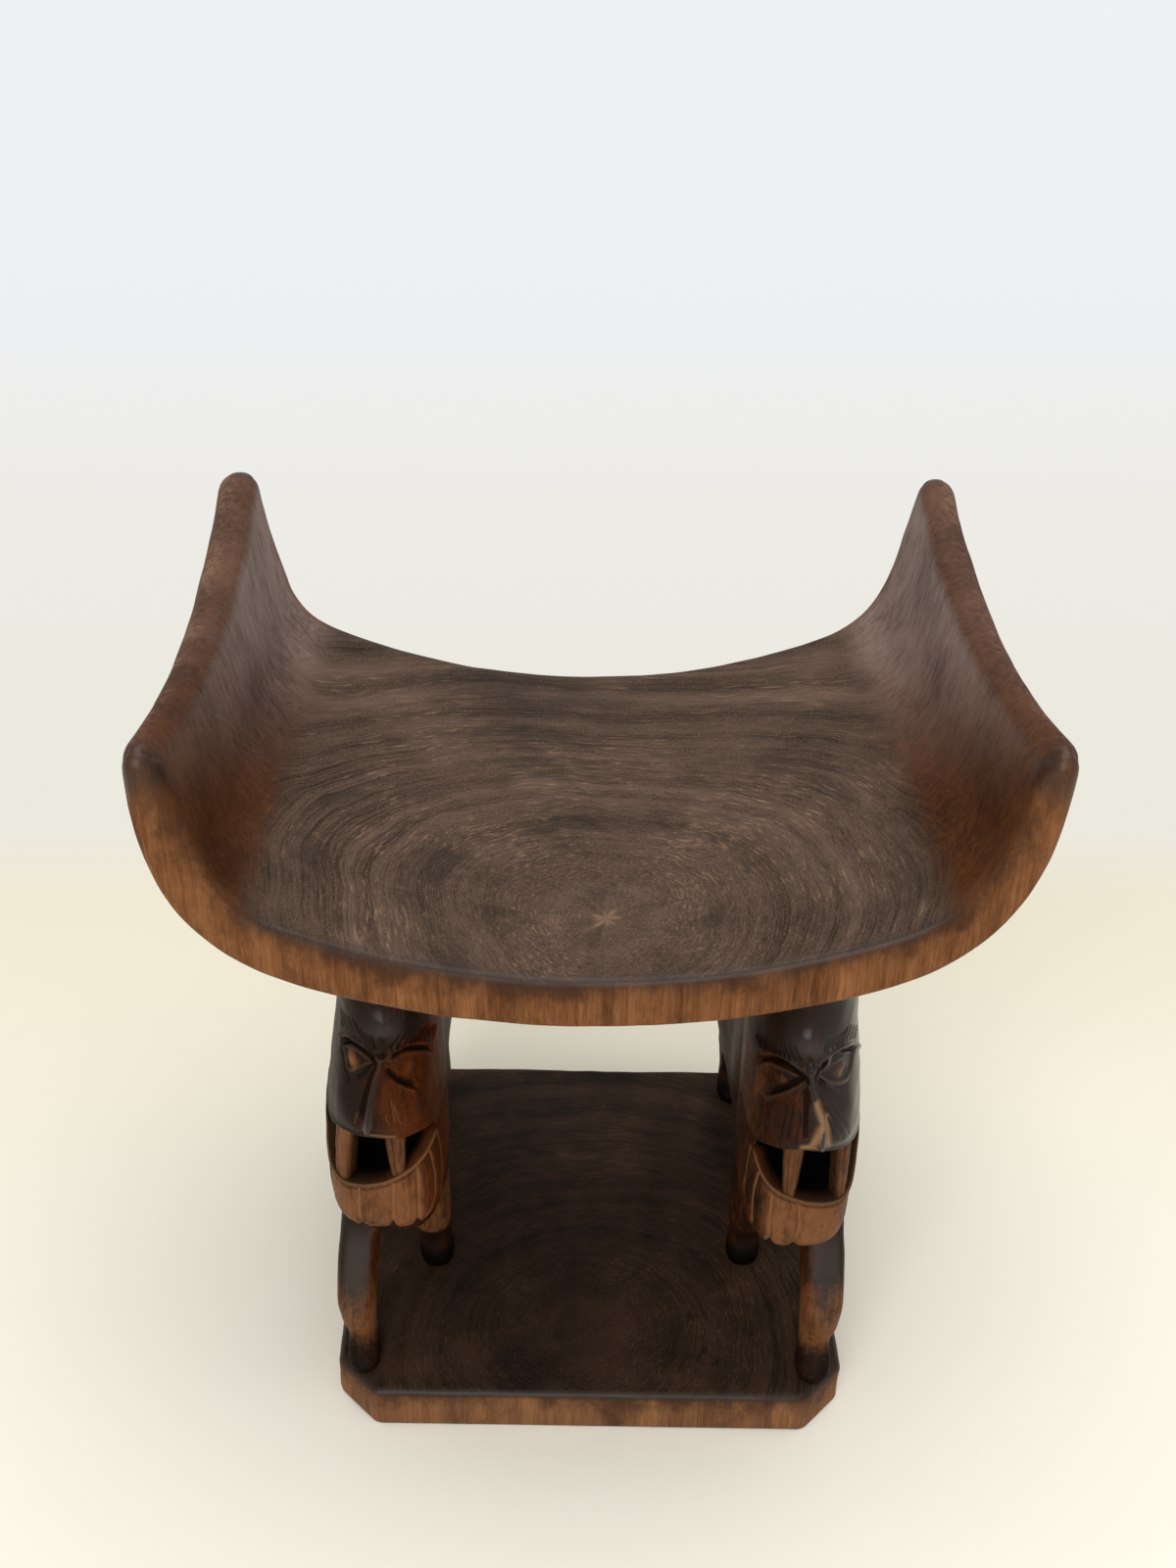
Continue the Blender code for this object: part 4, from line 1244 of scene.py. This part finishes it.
class STOOL_OT_stage(bpy.types.Operator):
    """Set out the floor, the lamps and the camera"""

    bl_idname = "stool.stage"
    bl_label = "Stage"

    def execute(self, context):
        self.lay_floor()
        self.hang_lamps()
        self.set_camera()
        context.scene.view_settings.view_transform = "Standard"
        return {"FINISHED"}

    def lay_floor(self):
        look = settings().stage
        bm = bmesh.new()
        bmesh.ops.create_grid(bm, x_segments=1, y_segments=1, size=12.0)
        floor = stand("floor", bm)
        finish = Finish(bpy.data.materials.new("pale floor"))
        _, y, _ = finish.axes(finish.point())
        black = (0.0, 0.0, 0.0)
        behind = finish.rise(y, look.wall_place - 0.05, look.wall_place + 0.10) * finish.in_sight()
        cream = finish.mix(finish.rise(y, -0.2, look.wall_place), look.floor, look.far_floor)
        wall = finish.mix(finish.rise(y, look.wall_place, 2.4), look.low_wall, look.wall)
        ground = finish.mix(behind, cream, black)
        glow = finish.mix(behind, black, wall)
        sockets = {"base_color": ground, "roughness": 0.9, "emission_color": glow, "emission_strength": 1.0}
        floor.data.materials.append(finish.finish(**sockets))

    def hang_lamps(self):
        look = settings().stage
        room = Finish(bpy.data.worlds.new("room light"), "Background")
        seen = room.in_sight()
        glow = room.mix(seen, look.daylight, look.wall)
        strength = look.room_light + seen * (1 - look.room_light)
        bpy.context.scene.world = room.finish(color=glow, strength=strength)
        for name, place, power, spread in LAMPS:
            lamp = bpy.data.lights.new(name, "AREA")
            lamp.energy = power
            lamp.size = spread
            holder = link(name, lamp)
            holder.location = place
            holder.rotation_euler = (LAMP_AIM - Vector(place)).to_track_quat("-Z", "Y").to_euler()

    def set_camera(self):
        pitch, yaw, roll = (math.radians(turn) for turn in CAMERA_TURN)
        camera = bpy.data.cameras.new("camera")
        camera.sensor_width = 36.0
        camera.lens = CAMERA_LENS
        camera.clip_start = 0.05
        holder = link("camera", camera)
        ahead = Vector((math.sin(yaw) * math.cos(pitch), math.cos(yaw) * math.cos(pitch), -math.sin(pitch)))
        turn = ahead.to_track_quat("-Z", "Y").to_matrix() @ Matrix.Rotation(roll, 3, "Z")
        holder.matrix_world = Matrix.Translation(CAMERA_PLACE) @ turn.to_4x4()
        bpy.context.scene.camera = holder


class STOOL_PT_panel(bpy.types.Panel):
    """The stool's pieces, in the order they are made"""

    bl_label = "Carved stool"
    bl_idname = "STOOL_PT_panel"
    bl_space_type = "VIEW_3D"
    bl_region_type = "UI"
    bl_category = "Stool"

    def draw(self, context):
        for maker in MAKERS:
            self.layout.operator(maker.bl_idname)


MAKERS = (STOOL_OT_seat, STOOL_OT_base, STOOL_OT_heads, STOOL_OT_bodies, STOOL_OT_fangs, STOOL_OT_stage)
GROUPS = (SeatSettings, BaseSettings, LionSettings, FinishSettings, StageSettings, StoolSettings)
CLASSES = (*GROUPS, *MAKERS, STOOL_PT_panel)


def register():
    for kind in CLASSES:
        bpy.utils.register_class(kind)
    bpy.types.Scene.stool = PointerProperty(type=StoolSettings)


def unregister():
    del bpy.types.Scene.stool
    for kind in reversed(CLASSES):
        bpy.utils.unregister_class(kind)


def main():
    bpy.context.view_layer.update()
    register()
    bpy.ops.stool.seat()
    bpy.ops.stool.base()
    bpy.ops.stool.heads()
    bpy.ops.stool.bodies()
    bpy.ops.stool.fangs()
    bpy.ops.stool.stage()


if __name__ == "__main__":
    main()
